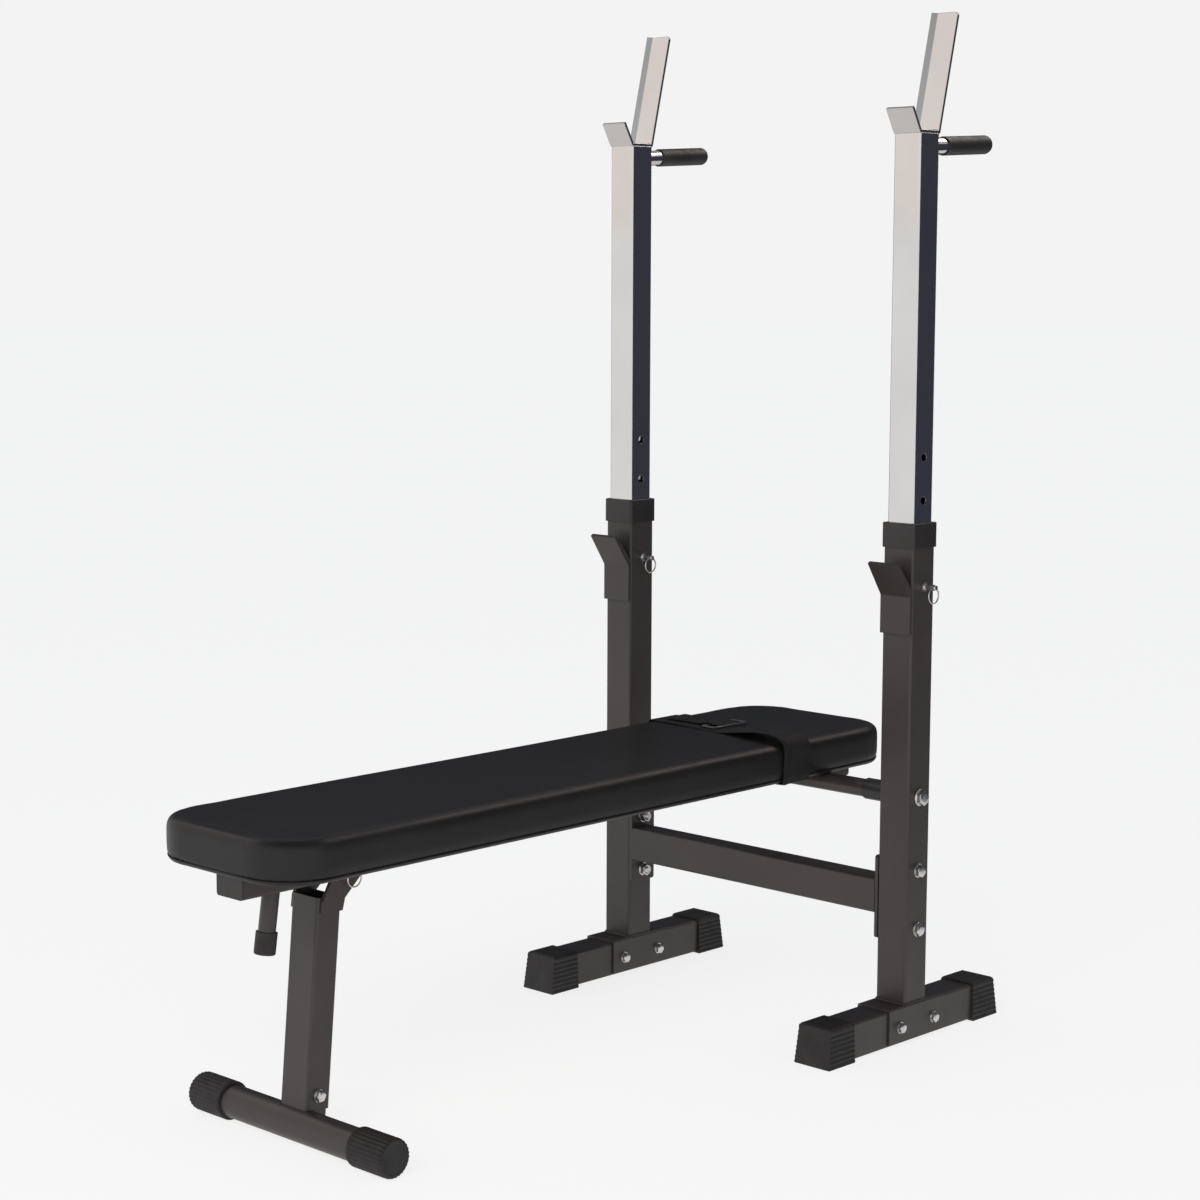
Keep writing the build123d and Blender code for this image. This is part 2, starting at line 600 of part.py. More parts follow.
def build_leg():
    place = leg_frame()
    length = math.dist(LEG_TOP_MID, LEG_LOW_MID)
    bolt_y, bolt_z = -869.0, 62.0
    hole = rod_x(4.0, -40, 40, bolt_y, bolt_z)
    foot_bore = rod_x(FOOT_D / 2, -60, 60, FOOT_Y, FOOT_Z)
    keep("leg_tube", place * square_tube(2 * LEG_HALF, LEG_DEPTH, 2.0, length) - hole - foot_bore)
    keep("leg_ears", leg_ear(-1), leg_ear(1))
    keep("foot_caps", foot_cap(-1), foot_cap(1))
    stub_low = -22.0
    stub = square_tube(2 * LEG_HALF - 4.4, LEG_DEPTH - 4.4, 2.0, 100 - stub_low, 3)
    keep("foot_stub", place * Pos(0, 0, stub_low) * stub - hole - foot_bore)
    tube = rod_x(FOOT_D / 2, -FOOT_HALF + 4, FOOT_HALF - 4, FOOT_Y, FOOT_Z)
    keep("foot_tube", tube - rod_x(FOOT_D / 2 - 2, -300, 300, FOOT_Y, FOOT_Z))
    body, nut, rings = bolt(LEG_HALF, -LEG_HALF, 13, 8, bolt_y, bolt_z, grip=6.5)
    keep("leg_bolt", body)
    keep("leg_nut", nut)
    keep("leg_bolt_washers", *rings)


# ---- write --------------------------------------------------------------------------------
def write_parts():
    """Move everything so the origin is the bottom centre of the whole box, and write each node."""
    boxes = [solid.bounding_box() for solids in NODES.values() for solid in solids]
    low = [min(getattr(box.min, axis) for box in boxes) for axis in "XYZ"]
    high = [max(getattr(box.max, axis) for box in boxes) for axis in "XYZ"]
    shift = Pos(-(low[0] + high[0]) / 2, -(low[1] + high[1]) / 2, -low[2])
    os.makedirs("parts", exist_ok=True)
    for name, solids in NODES.items():
        moved = [shift * solid for solid in solids]
        shape = moved[0] if len(moved) == 1 else Compound(moved)
        export_step(shape, f"parts/{name}.step")
    print("origin shift", shift.position)
    print("size", [top - bottom for bottom, top in zip(low, high)])


build_stand()
build_masts()
build_pins()
build_bench()
build_leg()
write_parts()
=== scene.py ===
"""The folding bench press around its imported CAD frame.

Studio, materials, fasteners, welds, upholstery, strap and foot caps."""
import json
import math
import random

import bmesh
import bpy
import numpy as np
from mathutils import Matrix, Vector, noise


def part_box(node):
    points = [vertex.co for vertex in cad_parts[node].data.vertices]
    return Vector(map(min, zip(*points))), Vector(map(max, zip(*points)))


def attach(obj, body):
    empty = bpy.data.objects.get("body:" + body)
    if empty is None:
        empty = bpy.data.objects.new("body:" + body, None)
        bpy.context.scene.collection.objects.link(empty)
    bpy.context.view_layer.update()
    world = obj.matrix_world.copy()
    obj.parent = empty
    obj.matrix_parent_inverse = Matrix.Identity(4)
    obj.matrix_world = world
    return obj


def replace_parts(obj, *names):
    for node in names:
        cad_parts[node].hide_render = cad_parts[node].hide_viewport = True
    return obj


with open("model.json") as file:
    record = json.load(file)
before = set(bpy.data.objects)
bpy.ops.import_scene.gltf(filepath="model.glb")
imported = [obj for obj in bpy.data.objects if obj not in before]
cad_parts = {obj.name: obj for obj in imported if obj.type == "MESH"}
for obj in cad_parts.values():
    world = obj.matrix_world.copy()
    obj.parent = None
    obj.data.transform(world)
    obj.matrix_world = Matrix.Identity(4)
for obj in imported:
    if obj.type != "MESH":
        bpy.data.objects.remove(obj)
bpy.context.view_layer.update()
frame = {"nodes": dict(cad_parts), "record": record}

# The CAD's own origin is midway between the posts on their centre line, and its units are millimetres.
POST_LOW, POST_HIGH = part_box("post_left")[0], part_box("post_right")[1]
ORIGIN = Vector(((POST_LOW.x + POST_HIGH.x) / 2, (POST_LOW.y + POST_HIGH.y) / 2, 0))
MM = 0.001


def at(x, y, z):
    """A point given in the CAD's millimetres, in the frame's metres."""
    return ORIGIN + Vector((x, y, z)) * MM


# ---- CAD dimensions used here, in millimetres -----------------------------------------------
POST_X, POST = 261.0, 50.0
MAST, MAST_TOP = 44.0, 1252.0
SADDLE_TOP, SADDLE_HALF, END_PLATE = 55.5, 28.0, 5.0
PAD_HALF, PAD_FRONT, PAD_BACK = 136.0, -1010.0, 150.0
PAD_LOW, PAD_TOP, PAD_CORNER, PAD_EDGE = 361.5, 414.0, 72.0, 13.0
BEAM_BOLTS = [(0.0, 159.5), (0.0, 243.0)]
SADDLE_BOLTS = [(-38.0, 27.0), (38.0, 27.0)]
PIVOT = (0.0, 346.5)
LEG_HINGE = (-799.0, 345.0)
LEG_BOLT = (-869.0, 62.0)
LEG_HALF, EAR_FACE, SPINE_HALF = 25.0, 30.4, 25.0
STRAP_Y, STRAP_SKEW, STRAP_HALF, STRAP_THICK = -77.5, math.radians(-4.4), 26.0, 1.5
TAIL_Y, TAIL_SKEW, TAIL_MIDDLE, TAIL_HALF, TAIL_THICK = -55.0, math.radians(2.5), -22.0, 22.0, 1.4


# ---- meshes in the scene -------------------------------------------------------------------------
def add_mesh(name, verts, faces, material):
    """A new object with this mesh, in metres, and one material."""
    mesh = bpy.data.meshes.new(name)
    mesh.from_pydata(verts, [], faces)
    mesh.materials.append(material)
    obj = bpy.data.objects.new(name, mesh)
    bpy.context.scene.collection.objects.link(obj)
    return obj


# ---- camera, light and stage ---------------------------------------------------------------------
SURROUND = (0.896, 0.896, 0.896)        # the background, scene-linear
FLOOR_MATT, FLOOR_GLOW = (0.30, 0.30, 0.30), (0.797, 0.797, 0.797)
FLOOR_HALF, FLOOR_GAP = 40.0, 0.0004
AIM = Vector((0, 0, 0.4))               # what the softboxes face


def make_camera():
    data = bpy.data.cameras.new("camera")
    data.sensor_width = 36
    data.lens = 76.9
    data.shift_x, data.shift_y = 0.0552, 0.0014
    data.clip_end = 100
    cam = bpy.data.objects.new("camera", data)
    cam.location = at(2366.64, -2843.49, 1068.62)
    cam.rotation_euler = (math.radians(82.65), 0, math.radians(44.9))
    bpy.context.scene.collection.objects.link(cam)
    bpy.context.scene.camera = cam


def plain(name, colour, emit=False):
    """A flat stage material: matt, or giving its own light."""
    mat = bpy.data.materials.new(name)
    mat.use_nodes = True
    tree = mat.node_tree
    tree.nodes.clear()
    out = tree.nodes.new("ShaderNodeOutputMaterial")
    shader = tree.nodes.new("ShaderNodeEmission" if emit else "ShaderNodeBsdfDiffuse")
    shader.inputs["Color"].default_value = (*colour, 1)
    tree.links.new(shader.outputs[0], out.inputs["Surface"])
    return mat


def glow_card(name, verts, faces, colour):
    """A self-lit card, seen in reflections and not by the camera, shadows or diffuse light."""
    obj = add_mesh(name, verts, faces, plain(name, colour, emit=True))
    obj.visible_camera = False
    obj.visible_diffuse = False
    obj.visible_shadow = False
    obj.visible_transmission = False


def arc_wall(name, radius, low, high, start, end, colour, steps=24):
    """Part of an upright cylinder round the object, between two angles in degrees from +X."""
    verts = []
    for i in range(steps + 1):
        a = math.radians(start + (end - start) * i / steps)
        verts += [(radius * math.cos(a), radius * math.sin(a), z) for z in (low, high)]
    glow_card(name, verts, [(2 * i, 2 * i + 2, 2 * i + 3, 2 * i + 1) for i in range(steps)], colour)


def softbox(name, place, size, colour):
    """A card aimed at the bench, for the soft highlight along rounded edges."""
    place = Vector(place)
    turn = (AIM - place).to_track_quat("-Z", "Y").to_matrix()
    corners = [place + turn @ Vector((a * size[0] / 2, b * size[1] / 2, 0))
               for a, b in ((-1, -1), (1, -1), (1, 1), (-1, 1))]
    glow_card(name, corners, [(0, 1, 2, 3)], colour)


def area_light(name, place, target, size, power, colour):
    """A lamp for the matt surfaces: the cards alone make the reflections."""
    data = bpy.data.lights.new(name, "AREA")
    data.shape = "RECTANGLE"
    data.size, data.size_y = size
    data.energy = power
    data.color = colour
    light = bpy.data.objects.new(name, data)
    light.location = place
    light.rotation_euler = (Vector(target) - Vector(place)).to_track_quat("-Z", "Y").to_euler()
    light.visible_glossy = False
    bpy.context.scene.collection.objects.link(light)


def studio_sky(tree):
    """A pale band round the horizon that darkens overhead and underfoot, as a lit studio does."""
    coords = tree.nodes.new("ShaderNodeTexCoord")
    split = tree.nodes.new("ShaderNodeSeparateXYZ")
    ramp = tree.nodes.new("ShaderNodeValToRGB")
    tree.links.new(coords.outputs["Generated"], split.inputs[0])
    height = tree.nodes.new("ShaderNodeMapRange")
    height.inputs["From Min"].default_value = -1.0
    tree.links.new(split.outputs["Z"], height.inputs["Value"])
    tree.links.new(height.outputs["Result"], ramp.inputs["Fac"])
    tree.links.new(ramp.outputs["Color"], tree.nodes["Background"].inputs["Color"])
    tree.nodes["Background"].inputs["Strength"].default_value = 1.0
    stops = ((0.15, (0.66, 0.64, 0.63)), (0.30, (0.72, 0.70, 0.69)), (0.41, SURROUND), (0.61, SURROUND),
             (0.75, (0.40, 0.405, 0.42)), (0.90, (0.13, 0.145, 0.175)))
    while len(ramp.color_ramp.elements) < len(stops):
        ramp.color_ramp.elements.new(0.5)
    for element, (place, colour) in zip(ramp.color_ramp.elements, stops):
        element.position = place
        element.color = (*colour, 1)


def floor_material():
    """Pale and nearly self-lit, so that it meets the surround with only a faint contact shadow."""
    mat = plain("floor", FLOOR_MATT)
    tree = mat.node_tree
    glow = tree.nodes.new("ShaderNodeEmission")
    glow.inputs["Color"].default_value = (*FLOOR_GLOW, 1)
    both = tree.nodes.new("ShaderNodeAddShader")
    tree.links.new(tree.nodes["Diffuse BSDF"].outputs[0], both.inputs[0])
    tree.links.new(glow.outputs[0], both.inputs[1])
    tree.links.new(both.outputs[0], tree.nodes["Material Output"].inputs["Surface"])
    return mat


def make_stage():
    scene = bpy.context.scene
    scene.view_settings.view_transform = "Standard"
    world = bpy.data.worlds.new("world")
    scene.world = world
    world.use_nodes = True
    studio_sky(world.node_tree)
    h = FLOOR_HALF
    corners = [(-h, -h, 0), (h, -h, 0), (h, h, 0), (-h, h, 0)]
    floor = add_mesh("floor", corners, [(0, 1, 2, 3)], floor_material())
    floor.location.z = -FLOOR_GAP
    floor.visible_glossy = False
    # The dark cards give the chrome its dark side, and the pale ones the vinyl its edge highlights.
    arc_wall("flag_right", 3.6, -0.5, 2.4, 12, 94, (0.042, 0.043, 0.060))
    arc_wall("flag_behind", 3.6, -0.5, 2.4, 94, 172, (0.046, 0.050, 0.066))
    arc_wall("fill", 4.2, 1.2, 4.2, 186, 262, (0.90, 0.84, 0.81))
    softbox("softbox_head", (0.5, 3.1, 3.5), (2.8, 0.55), (6.0, 5.2, 4.6))
    softbox("softbox_side", (-3.3, -0.7, 3.5), (2.6, 0.8), (2.0, 1.85, 1.75))
    area_light("key", (1.6, -3.2, 2.6), (0.0, -0.1, 0.5), (2.4, 1.6), 42, (1.0, 0.93, 0.87))


# ---- materials ---------------------------------------------------------------------------------
class Shader:
    """A Principled material built from Object coordinates, layer by layer."""

    def __init__(self, name, base, rough, metallic=0.0, specular=0.5):
        self.mat = bpy.data.materials.new(name)
        self.mat.use_nodes = True
        self.mat.diffuse_color = (*base, 1)
        self.tree = self.mat.node_tree
        self.bsdf = self.tree.nodes["Principled BSDF"]
        self.bsdf.inputs["Base Color"].default_value = (*base, 1)
        self.bsdf.inputs["Roughness"].default_value = rough
        self.bsdf.inputs["Metallic"].default_value = metallic
        self.bsdf.inputs["Specular IOR Level"].default_value = specular
        self.base = base
        self.coords = self.node("ShaderNodeTexCoord").outputs["Object"]
        self.colour = self.roughness = self.normal = None

    def node(self, kind, **values):
        made = self.tree.nodes.new(kind)
        for key, value in values.items():
            setattr(made, key, value)
        return made

    def link(self, a, b):
        self.tree.links.new(a, b)

    def stretched(self, factors):
        """Object coordinates scaled by axis, for grain that runs one way."""
        mapping = self.node("ShaderNodeMapping")
        mapping.inputs["Scale"].default_value = factors
        self.link(self.coords, mapping.inputs["Vector"])
        return mapping.outputs["Vector"]

    def noise(self, scale, detail=4.0, vector=None, rough=0.55):
        made = self.node("ShaderNodeTexNoise")
        made.inputs["Scale"].default_value = scale
        made.inputs["Detail"].default_value = detail
        made.inputs["Roughness"].default_value = rough
        self.link(vector or self.coords, made.inputs["Vector"])
        return made.outputs["Fac"]

    def cells(self, scale, feature="F1"):
        made = self.node("ShaderNodeTexVoronoi", feature=feature)
        made.inputs["Scale"].default_value = scale
        self.link(self.coords, made.inputs["Vector"])
        return made.outputs["Distance"]

    def remap(self, value, low, high, to_low, to_high):
        made = self.node("ShaderNodeMapRange")
        limits = {"From Min": low, "From Max": high, "To Min": to_low, "To Max": to_high}
        for key, number in limits.items():
            made.inputs[key].default_value = number
        self.link(value, made.inputs["Value"])
        return made.outputs["Result"]

    def maths(self, operation, a, b=0.0):
        made = self.node("ShaderNodeMath", operation=operation)
        for socket, value in zip(made.inputs, (a, b)):
            if isinstance(value, (int, float)):
                socket.default_value = value
            else:
                self.link(value, socket)
        return made.outputs[0]

    def tint(self, mask, colour):
        """Mixes the colour so far towards another where the mask is 1."""
        made = self.node("ShaderNodeMix", data_type="RGBA")
        first, second, result = made.inputs[6], made.inputs[7], made.outputs[2]     # the RGBA sockets
        self.link(mask, made.inputs["Factor"])
        if self.colour is None:
            first.default_value = (*self.base, 1)
        else:
            self.link(self.colour, first)
        second.default_value = (*colour, 1)
        self.colour = result

    def vary_rough(self, mask, low, high):
        """Roughness that follows a 0 to 1 mask, added to what is there."""
        change = self.remap(mask, 0.25, 0.75, low, high)
        self.roughness = change if self.roughness is None else self.maths("ADD", self.roughness, change)

    def soften(self, radius):
        """Rounds the CAD's sharp edges in shading."""
        made = self.node("ShaderNodeBevel", samples=4)
        made.inputs["Radius"].default_value = radius
        self.normal = made.outputs["Normal"]

    def edges(self, radius, gain=1.0):
        """A mask that is 1 on outer edges, from how far a wide bevel turns the normal."""
        wide = self.node("ShaderNodeBevel", samples=4)
        wide.inputs["Radius"].default_value = radius
        geometry = self.node("ShaderNodeNewGeometry")
        dot = self.node("ShaderNodeVectorMath", operation="DOT_PRODUCT")
        self.link(wide.outputs["Normal"], dot.inputs[0])
        self.link(geometry.outputs["Normal"], dot.inputs[1])
        return self.remap(dot.outputs["Value"], 0.995, 0.80, 0.0, gain)

    def bump(self, height, depth, strength=1.0):
        made = self.node("ShaderNodeBump")
        made.inputs["Distance"].default_value = depth
        made.inputs["Strength"].default_value = strength
        self.link(height, made.inputs["Height"])
        if self.normal is not None:
            self.link(self.normal, made.inputs["Normal"])
        self.normal = made.outputs["Normal"]

    def done(self):
        if self.colour is not None:
            self.link(self.colour, self.bsdf.inputs["Base Color"])
        if self.roughness is not None:
            self.link(self.roughness, self.bsdf.inputs["Roughness"])
        if self.normal is not None:
            self.link(self.normal, self.bsdf.inputs["Normal"])
        return self.mat


def powder_coat():
    """Satin black paint on steel: orange peel, and edges worn a little lighter."""
    s = Shader("powder_coat", (0.0340, 0.0290, 0.0275), 0.43, specular=0.5)
    s.tint(s.remap(s.noise(5, 5), 0.3, 0.7, 0.0, 1.0), (0.0440, 0.0375, 0.0350))
    s.soften(0.0009)
    worn = s.maths("MULTIPLY", s.edges(0.0012, 0.55), s.remap(s.noise(130, 4), 0.45, 0.62, 0.15, 1.0))
    s.tint(worn, (0.085, 0.082, 0.080))
    s.vary_rough(s.noise(22, 5), 0.32, 0.42)
    s.vary_rough(s.noise(900, 2), -0.03, 0.03)
    s.bump(s.noise(420, 3), 0.00016, 0.55)
    s.bump(s.noise(1500, 2), 0.00006, 0.5)
    return s.done()


def chrome():
    """Chromed tube with faint lengthwise polishing marks, and edges painted darker: a painted reflection.
    """
    s = Shader("chrome", (0.74, 0.725, 0.705), 0.07, metallic=1.0)
    s.tint(s.remap(s.noise(7, 5), 0.35, 0.7, 0.0, 1.0), (0.68, 0.675, 0.67))
    s.soften(0.0010)
    # Painted reflection: the edges are painted darker, for the dark surroundings that a rounded chrome
    # edge reflects.
    s.tint(s.edges(0.0014, 0.7), (0.36, 0.36, 0.39))
    s.vary_rough(s.noise(9, 6), 0.045, 0.12)
    s.vary_rough(s.noise(1.0, 5, s.stretched((900, 900, 14))), -0.012, 0.03)
    s.bump(s.noise(1.0, 3, s.stretched((700, 700, 9))), 0.000012, 0.5)
    s.bump(s.noise(60, 2), 0.00003, 0.35)
    return s.done()


def zinc():
    """Zinc-plated fasteners, slightly yellowed in places."""
    s = Shader("zinc_plate", (0.80, 0.79, 0.77), 0.25, metallic=1.0)
    s.tint(s.remap(s.noise(160, 4), 0.4, 0.65, 0.0, 0.8), (0.64, 0.64, 0.66))
    s.soften(0.0003)
    s.tint(s.remap(s.noise(40, 2), 0.5, 0.7, 0.0, 0.35), (0.80, 0.76, 0.66))
    s.vary_rough(s.noise(300, 4), 0.18, 0.36)
    s.bump(s.noise(900, 3), 0.00004, 0.6)
    return s.done()


def rubber():
    """Matt moulded rubber with a little dust in its pores."""
    s = Shader("rubber", (0.0165, 0.0152, 0.0150), 0.60, specular=0.42)
    s.tint(s.remap(s.noise(18, 5), 0.4, 0.7, 0.0, 1.0), (0.0260, 0.0238, 0.0232))
    s.soften(0.0007)
    s.tint(s.remap(s.noise(420, 3), 0.60, 0.72, 0.0, 0.35), (0.075, 0.072, 0.070))
    s.vary_rough(s.noise(60, 4), 0.52, 0.72)
    s.bump(s.noise(650, 4), 0.00012, 0.6)
    s.bump(s.cells(1400), 0.00004, 0.4)
    return s.done()


def foam_grip():
    """Closed-cell foam sleeve."""
    s = Shader("foam_grip", (0.013, 0.013, 0.0135), 0.48, specular=0.5)
    s.tint(s.remap(s.noise(35, 4), 0.4, 0.7, 0.0, 1.0), (0.022, 0.021, 0.021))
    s.vary_rough(s.noise(90, 4), 0.40, 0.56)
    s.bump(s.cells(900), 0.00016, 0.5)
    s.bump(s.noise(2200, 2), 0.00006, 0.5)
    return s.done()


def moulded(name, base, rough, specular=0.5):
    """Moulded plastic: faint mottling, edges painted lighter as a painted highlight, and a fine mould
    grain.
    """
    s = Shader(name, base, rough, specular=specular)
    s.tint(s.remap(s.noise(12, 5), 0.35, 0.7, 0.0, 1.0), tuple(c * 1.5 for c in base))
    s.soften(0.0008)
    # Painted highlight: every outer edge is painted lighter, evenly along its length.
    s.tint(s.edges(0.0010, 0.35), tuple(c * 3.2 for c in base))
    s.vary_rough(s.noise(45, 4), rough - 0.06, rough + 0.08)
    s.bump(s.noise(1100, 3), 0.00008, 0.55)
    return s.done()


def vinyl():
    """Leather-grained upholstery vinyl: pebbled cells, with painted shade in the creases between them."""
    s = Shader("vinyl", (0.0105, 0.0094, 0.0092), 0.34, specular=0.33)
    s.tint(s.remap(s.noise(4, 5), 0.35, 0.7, 0.0, 1.0), (0.0150, 0.0140, 0.0145))
    grain = s.cells(620, "DISTANCE_TO_EDGE")
    creases = s.remap(grain, 0.0, 0.16, 0.0, 1.0)
    # Painted shade: the creases between the pebbled cells are painted darker.
    s.tint(s.remap(grain, 0.0, 0.10, 0.30, 0.0), (0.006, 0.006, 0.007))
    s.vary_rough(s.noise(16, 5), 0.34, 0.44)
    s.vary_rough(s.noise(700, 3), -0.02, 0.05)
    s.bump(s.noise(28, 3), 0.0006, 0.18)
    s.bump(creases, 0.00010, 0.40)
    s.bump(s.noise(1500, 3), 0.00006, 0.45)
    return s.done()


def weave_coords(s):
    """Run and across, in metres, stored on the webbing's own points."""
    made = s.node("ShaderNodeAttribute", attribute_name="weave")
    split = s.node("ShaderNodeSeparateXYZ")
    s.link(made.outputs["Vector"], split.inputs[0])
    return split.outputs["X"], split.outputs["Y"]


def webbing():
    """Twill webbing: ribs across the strap at a 1.4 mm pitch, broken by lengthwise yarns."""
    s = Shader("webbing", (0.0058, 0.0054, 0.0056), 0.50, specular=0.32)
    run, across = weave_coords(s)
    pitch, yarn = 0.0014, 0.0019
    slant = s.maths("ADD", run, s.maths("MULTIPLY", across, 0.55))
    ribs = s.maths("SINE", s.maths("MULTIPLY", slant, math.tau / pitch))
    yarns = s.maths("SINE", s.maths("MULTIPLY", across, math.tau / yarn))
    cloth = s.maths("MULTIPLY", s.maths("ADD", ribs, 1.0), s.maths("ADD", yarns, 1.6))
    # Painted shade: the weave's hollows are painted darker than its crests, from the same height as its
    # bump.
    s.tint(s.remap(cloth, 0.5, 4.0, 0.0, 1.0), (0.0140, 0.0130, 0.0130))
    s.tint(s.remap(s.noise(30, 5), 0.45, 0.75, 0.0, 0.6), (0.0130, 0.0125, 0.0130))
    s.vary_rough(s.noise(200, 4), 0.42, 0.56)
    s.bump(cloth, 0.00011, 0.8)
    s.bump(s.noise(2600, 3), 0.00008, 0.6)
    return s.done()


def plywood():
    """Bare plywood, its grain along the pad."""
    s = Shader("plywood", (0.40, 0.27, 0.15), 0.62, specular=0.35)
    along = s.stretched((60, 3.2, 60))
    s.tint(s.remap(s.noise(1.0, 8, along, 0.6), 0.35, 0.68, 0.0, 1.0), (0.27, 0.165, 0.085))
    s.tint(s.remap(s.noise(1.0, 3, s.stretched((420, 16, 420))), 0.55, 0.75, 0.0, 0.6), (0.17, 0.10, 0.05))
    s.tint(s.remap(s.noise(3, 3), 0.5, 0.75, 0.0, 0.5), (0.46, 0.33, 0.20))
    s.vary_rough(s.noise(120, 3), 0.55, 0.72)
    s.bump(s.noise(1.0, 5, s.stretched((500, 20, 500))), 0.0002, 0.5)
    return s.done()


COAT, CHROME, ZINC, RUBBER = powder_coat(), chrome(), zinc(), rubber()
GRIP, VINYL, WEBBING, PLYWOOD = foam_grip(), vinyl(), webbing(), plywood()
PLASTIC = moulded("moulded_plastic", (0.0160, 0.0142, 0.0138), 0.40)
NYLON = moulded("nylon", (0.016, 0.016, 0.017), 0.35)
BUCKLE = moulded("buckle", (0.050, 0.049, 0.049), 0.22, specular=0.7)
SLOT_MATERIAL = {       # the record's material slots; the foam's own solid is hidden by the upholstery
    "black_frame": COAT, "chrome": CHROME, "zinc": ZINC, "rubber": RUBBER, "grip": GRIP,
    "plastic": PLASTIC, "bush": NYLON, "pad_cover": VINYL, "foam": VINYL, "board": PLYWOOD,
    "webbing": WEBBING, "buckle": BUCKLE,
}


def dress_cad_nodes():
    """Each CAD node that stays visible gets the material of its slot."""
    for part in frame["record"]["subparts"]:
        obj = frame["nodes"][part["node"]]
        mats = obj.data.materials
        mats.clear()
        mats.append(SLOT_MATERIAL[part["material_slot"]])


# ---- mesh helpers --------------------------------------------------------------------------------
class Soup:
    """Vertices and faces gathered from several shapes into one piece."""

    def __init__(self):
        self.verts, self.faces = [], []

    def grid(self, rings, closed=False):
        """Quads between rings of points, and from the last ring to the first when closed."""
        base = len(self.verts)
        count = len(rings[0])
        for ring in rings:
            self.verts += [tuple(p) for p in ring]
        for i in range(len(rings) if closed else len(rings) - 1):
            k = (i + 1) % len(rings)
            for j in range(count):
                a, b = i * count + j, i * count + (j + 1) % count
                c, d = k * count + (j + 1) % count, k * count + j
                self.faces.append((base + a, base + b, base + c, base + d))
        return base

    def cap(self, start, count, flip=False):
        loop = list(range(start, start + count))
        self.faces.append(tuple(loop[::-1] if flip else loop))

    def tube(self, rings, closed=False):
        """Skin over rings of points: a loop when closed, and capped at both ends otherwise."""
        base = self.grid(rings, closed)
        count = len(rings[0])
        if not closed:
            self.cap(base, count)
            self.cap(base + (len(rings) - 1) * count, count, flip=True)

    def piece(self, name, material, body, slot, angle=35.0):
        """The scene object, smooth-shaded but for edges sharper than the angle, riding on a body."""
        obj = add_mesh(name, self.verts, self.faces, material)
        mesh = obj.data
        tidy = bmesh.new()
        tidy.from_mesh(mesh)
        bmesh.ops.recalc_face_normals(tidy, faces=tidy.faces)
        tidy.to_mesh(mesh)
        tidy.free()
        mesh.shade_smooth()
        mesh.set_sharp_from_angle(angle=math.radians(angle))
        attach(obj, body)
        return obj


def turns(count):
    """Angles at an even step round a full circle."""
    return [math.tau * j / count for j in range(count)]


def around(centre, axis, along, radius, angle):
    """A point by its distance along +/-X from a centre, and its radius and angle round that axis."""
    x, y, z = centre
    return at(x + axis * along, y + radius * math.cos(angle), z + radius * math.sin(angle))


def turned(soup, centre, axis, profile, count=40):
    """A solid of revolution along +/-X from (distance along the axis, radius) pairs, in millimetres."""
    soup.tube([[around(centre, axis, along, radius, a) for a in turns(count)]
               for along, radius in profile])


def hexagon(soup, centre, axis, across, thick, bore=0.0, turn=0.0, dome=0.5):
    """A hexagon head or nut with chamfered corners: centre on its seat, growing along axis."""
    count = 72
    flat = across / 2
    crown = flat * 0.955
    slope = math.tan(math.radians(32))
    rows = [[], [], []]
    for a in turns(count):
        within = (a % (math.pi / 3)) - math.pi / 6
        radius = flat / math.cos(within)
        drop = max(0.0, radius - crown) * slope
        for row, (r, along) in zip(rows, ((radius, 0.0), (radius, thick - drop), (crown, thick))):
            row.append((r, along, a + turn))
    inner = [(0.55 * crown, thick + dome * 0.7), (0.12 * crown, thick + dome)]
    if bore:
        inner = [(bore * 1.16, thick), (bore, thick - 0.5), (bore, 0.2)]
    rows += [[(r, along, a + turn) for a in turns(count)] for r, along in inner]
    points = [[around(centre, axis, along, r, a) for r, along, a in row] for row in rows]
    base = soup.grid(points)
    soup.cap(base, count)
    if not bore:
        soup.cap(base + (len(points) - 1) * count, count, flip=True)


def thread(soup, centre, axis, radius, length, pitch=1.5):
    """A bolt's threaded end, a true helix, with a chamfered tip."""
    count, groove, chamfer = 28, 0.55, 1.2
    steps = int(length / pitch * 8)
    rows = []
    for i in range(steps + 1):
        along = length * i / steps
        row = []
        for j, a in enumerate(turns(count)):
            phase = (along / pitch - j / count) % 1.0
            depth = groove * abs(2 * phase - 1)
            tip = max(0.0, along - (length - chamfer)) * 0.7
            row.append(around(centre, axis, along, radius - depth - tip, a))
        rows.append(row)
    soup.tube(rows)


def heading(path, i, closed=False):
    """The way a path of vectors runs at one of its points."""
    before = path[i - 1] if (closed or i) else path[i]
    after = path[(i + 1) % len(path)] if (closed or i < len(path) - 1) else path[i]
    return (after - before).normalized()


def bead(soup, points, radius, closed=False):
    """A weld bead along points in millimetres, with the ripples of a hand-laid weld."""
    step, ripple_pitch = 0.55, 2.1
    path = []
    total = len(points) if closed else len(points) - 1
    for i in range(total):
        a, b = Vector(points[i]), Vector(points[(i + 1) % len(points)])
        steps = max(2, int((b - a).length / step))
        path += [a.lerp(b, k / steps) for k in range(steps)]
    if not closed:
        path.append(Vector(points[-1]))
    rows = []
    for i, p in enumerate(path):
        along = heading(path, i, closed)
        side = along.orthogonal().normalized()
        up = along.cross(side)
        ripple = 1.0 + 0.13 * math.sin(i * step * math.tau / ripple_pitch) + 0.10 * noise.noise(p * 0.35)
        end = 1.0 if closed else min(1.0, 0.35 + min(i, len(path) - 1 - i) * 0.14)
        rows.append([at(*(p + (side * math.cos(a) + up * math.sin(a)) * radius * ripple * end))
                     for a in turns(8)])
    soup.tube(rows, closed)


def wire(soup, points, radius, count):
    """A round wire along points in millimetres."""
    path = [Vector(p) for p in points]
    rows = []
    for i, p in enumerate(path):
        along = heading(path, i)
        side = along.cross(Vector((0.02, 0.03, 1))).normalized()
        up = along.cross(side)
        rows.append([at(*(p + (side * math.cos(a) + up * math.sin(a)) * radius)) for a in turns(count)])
    soup.tube(rows)


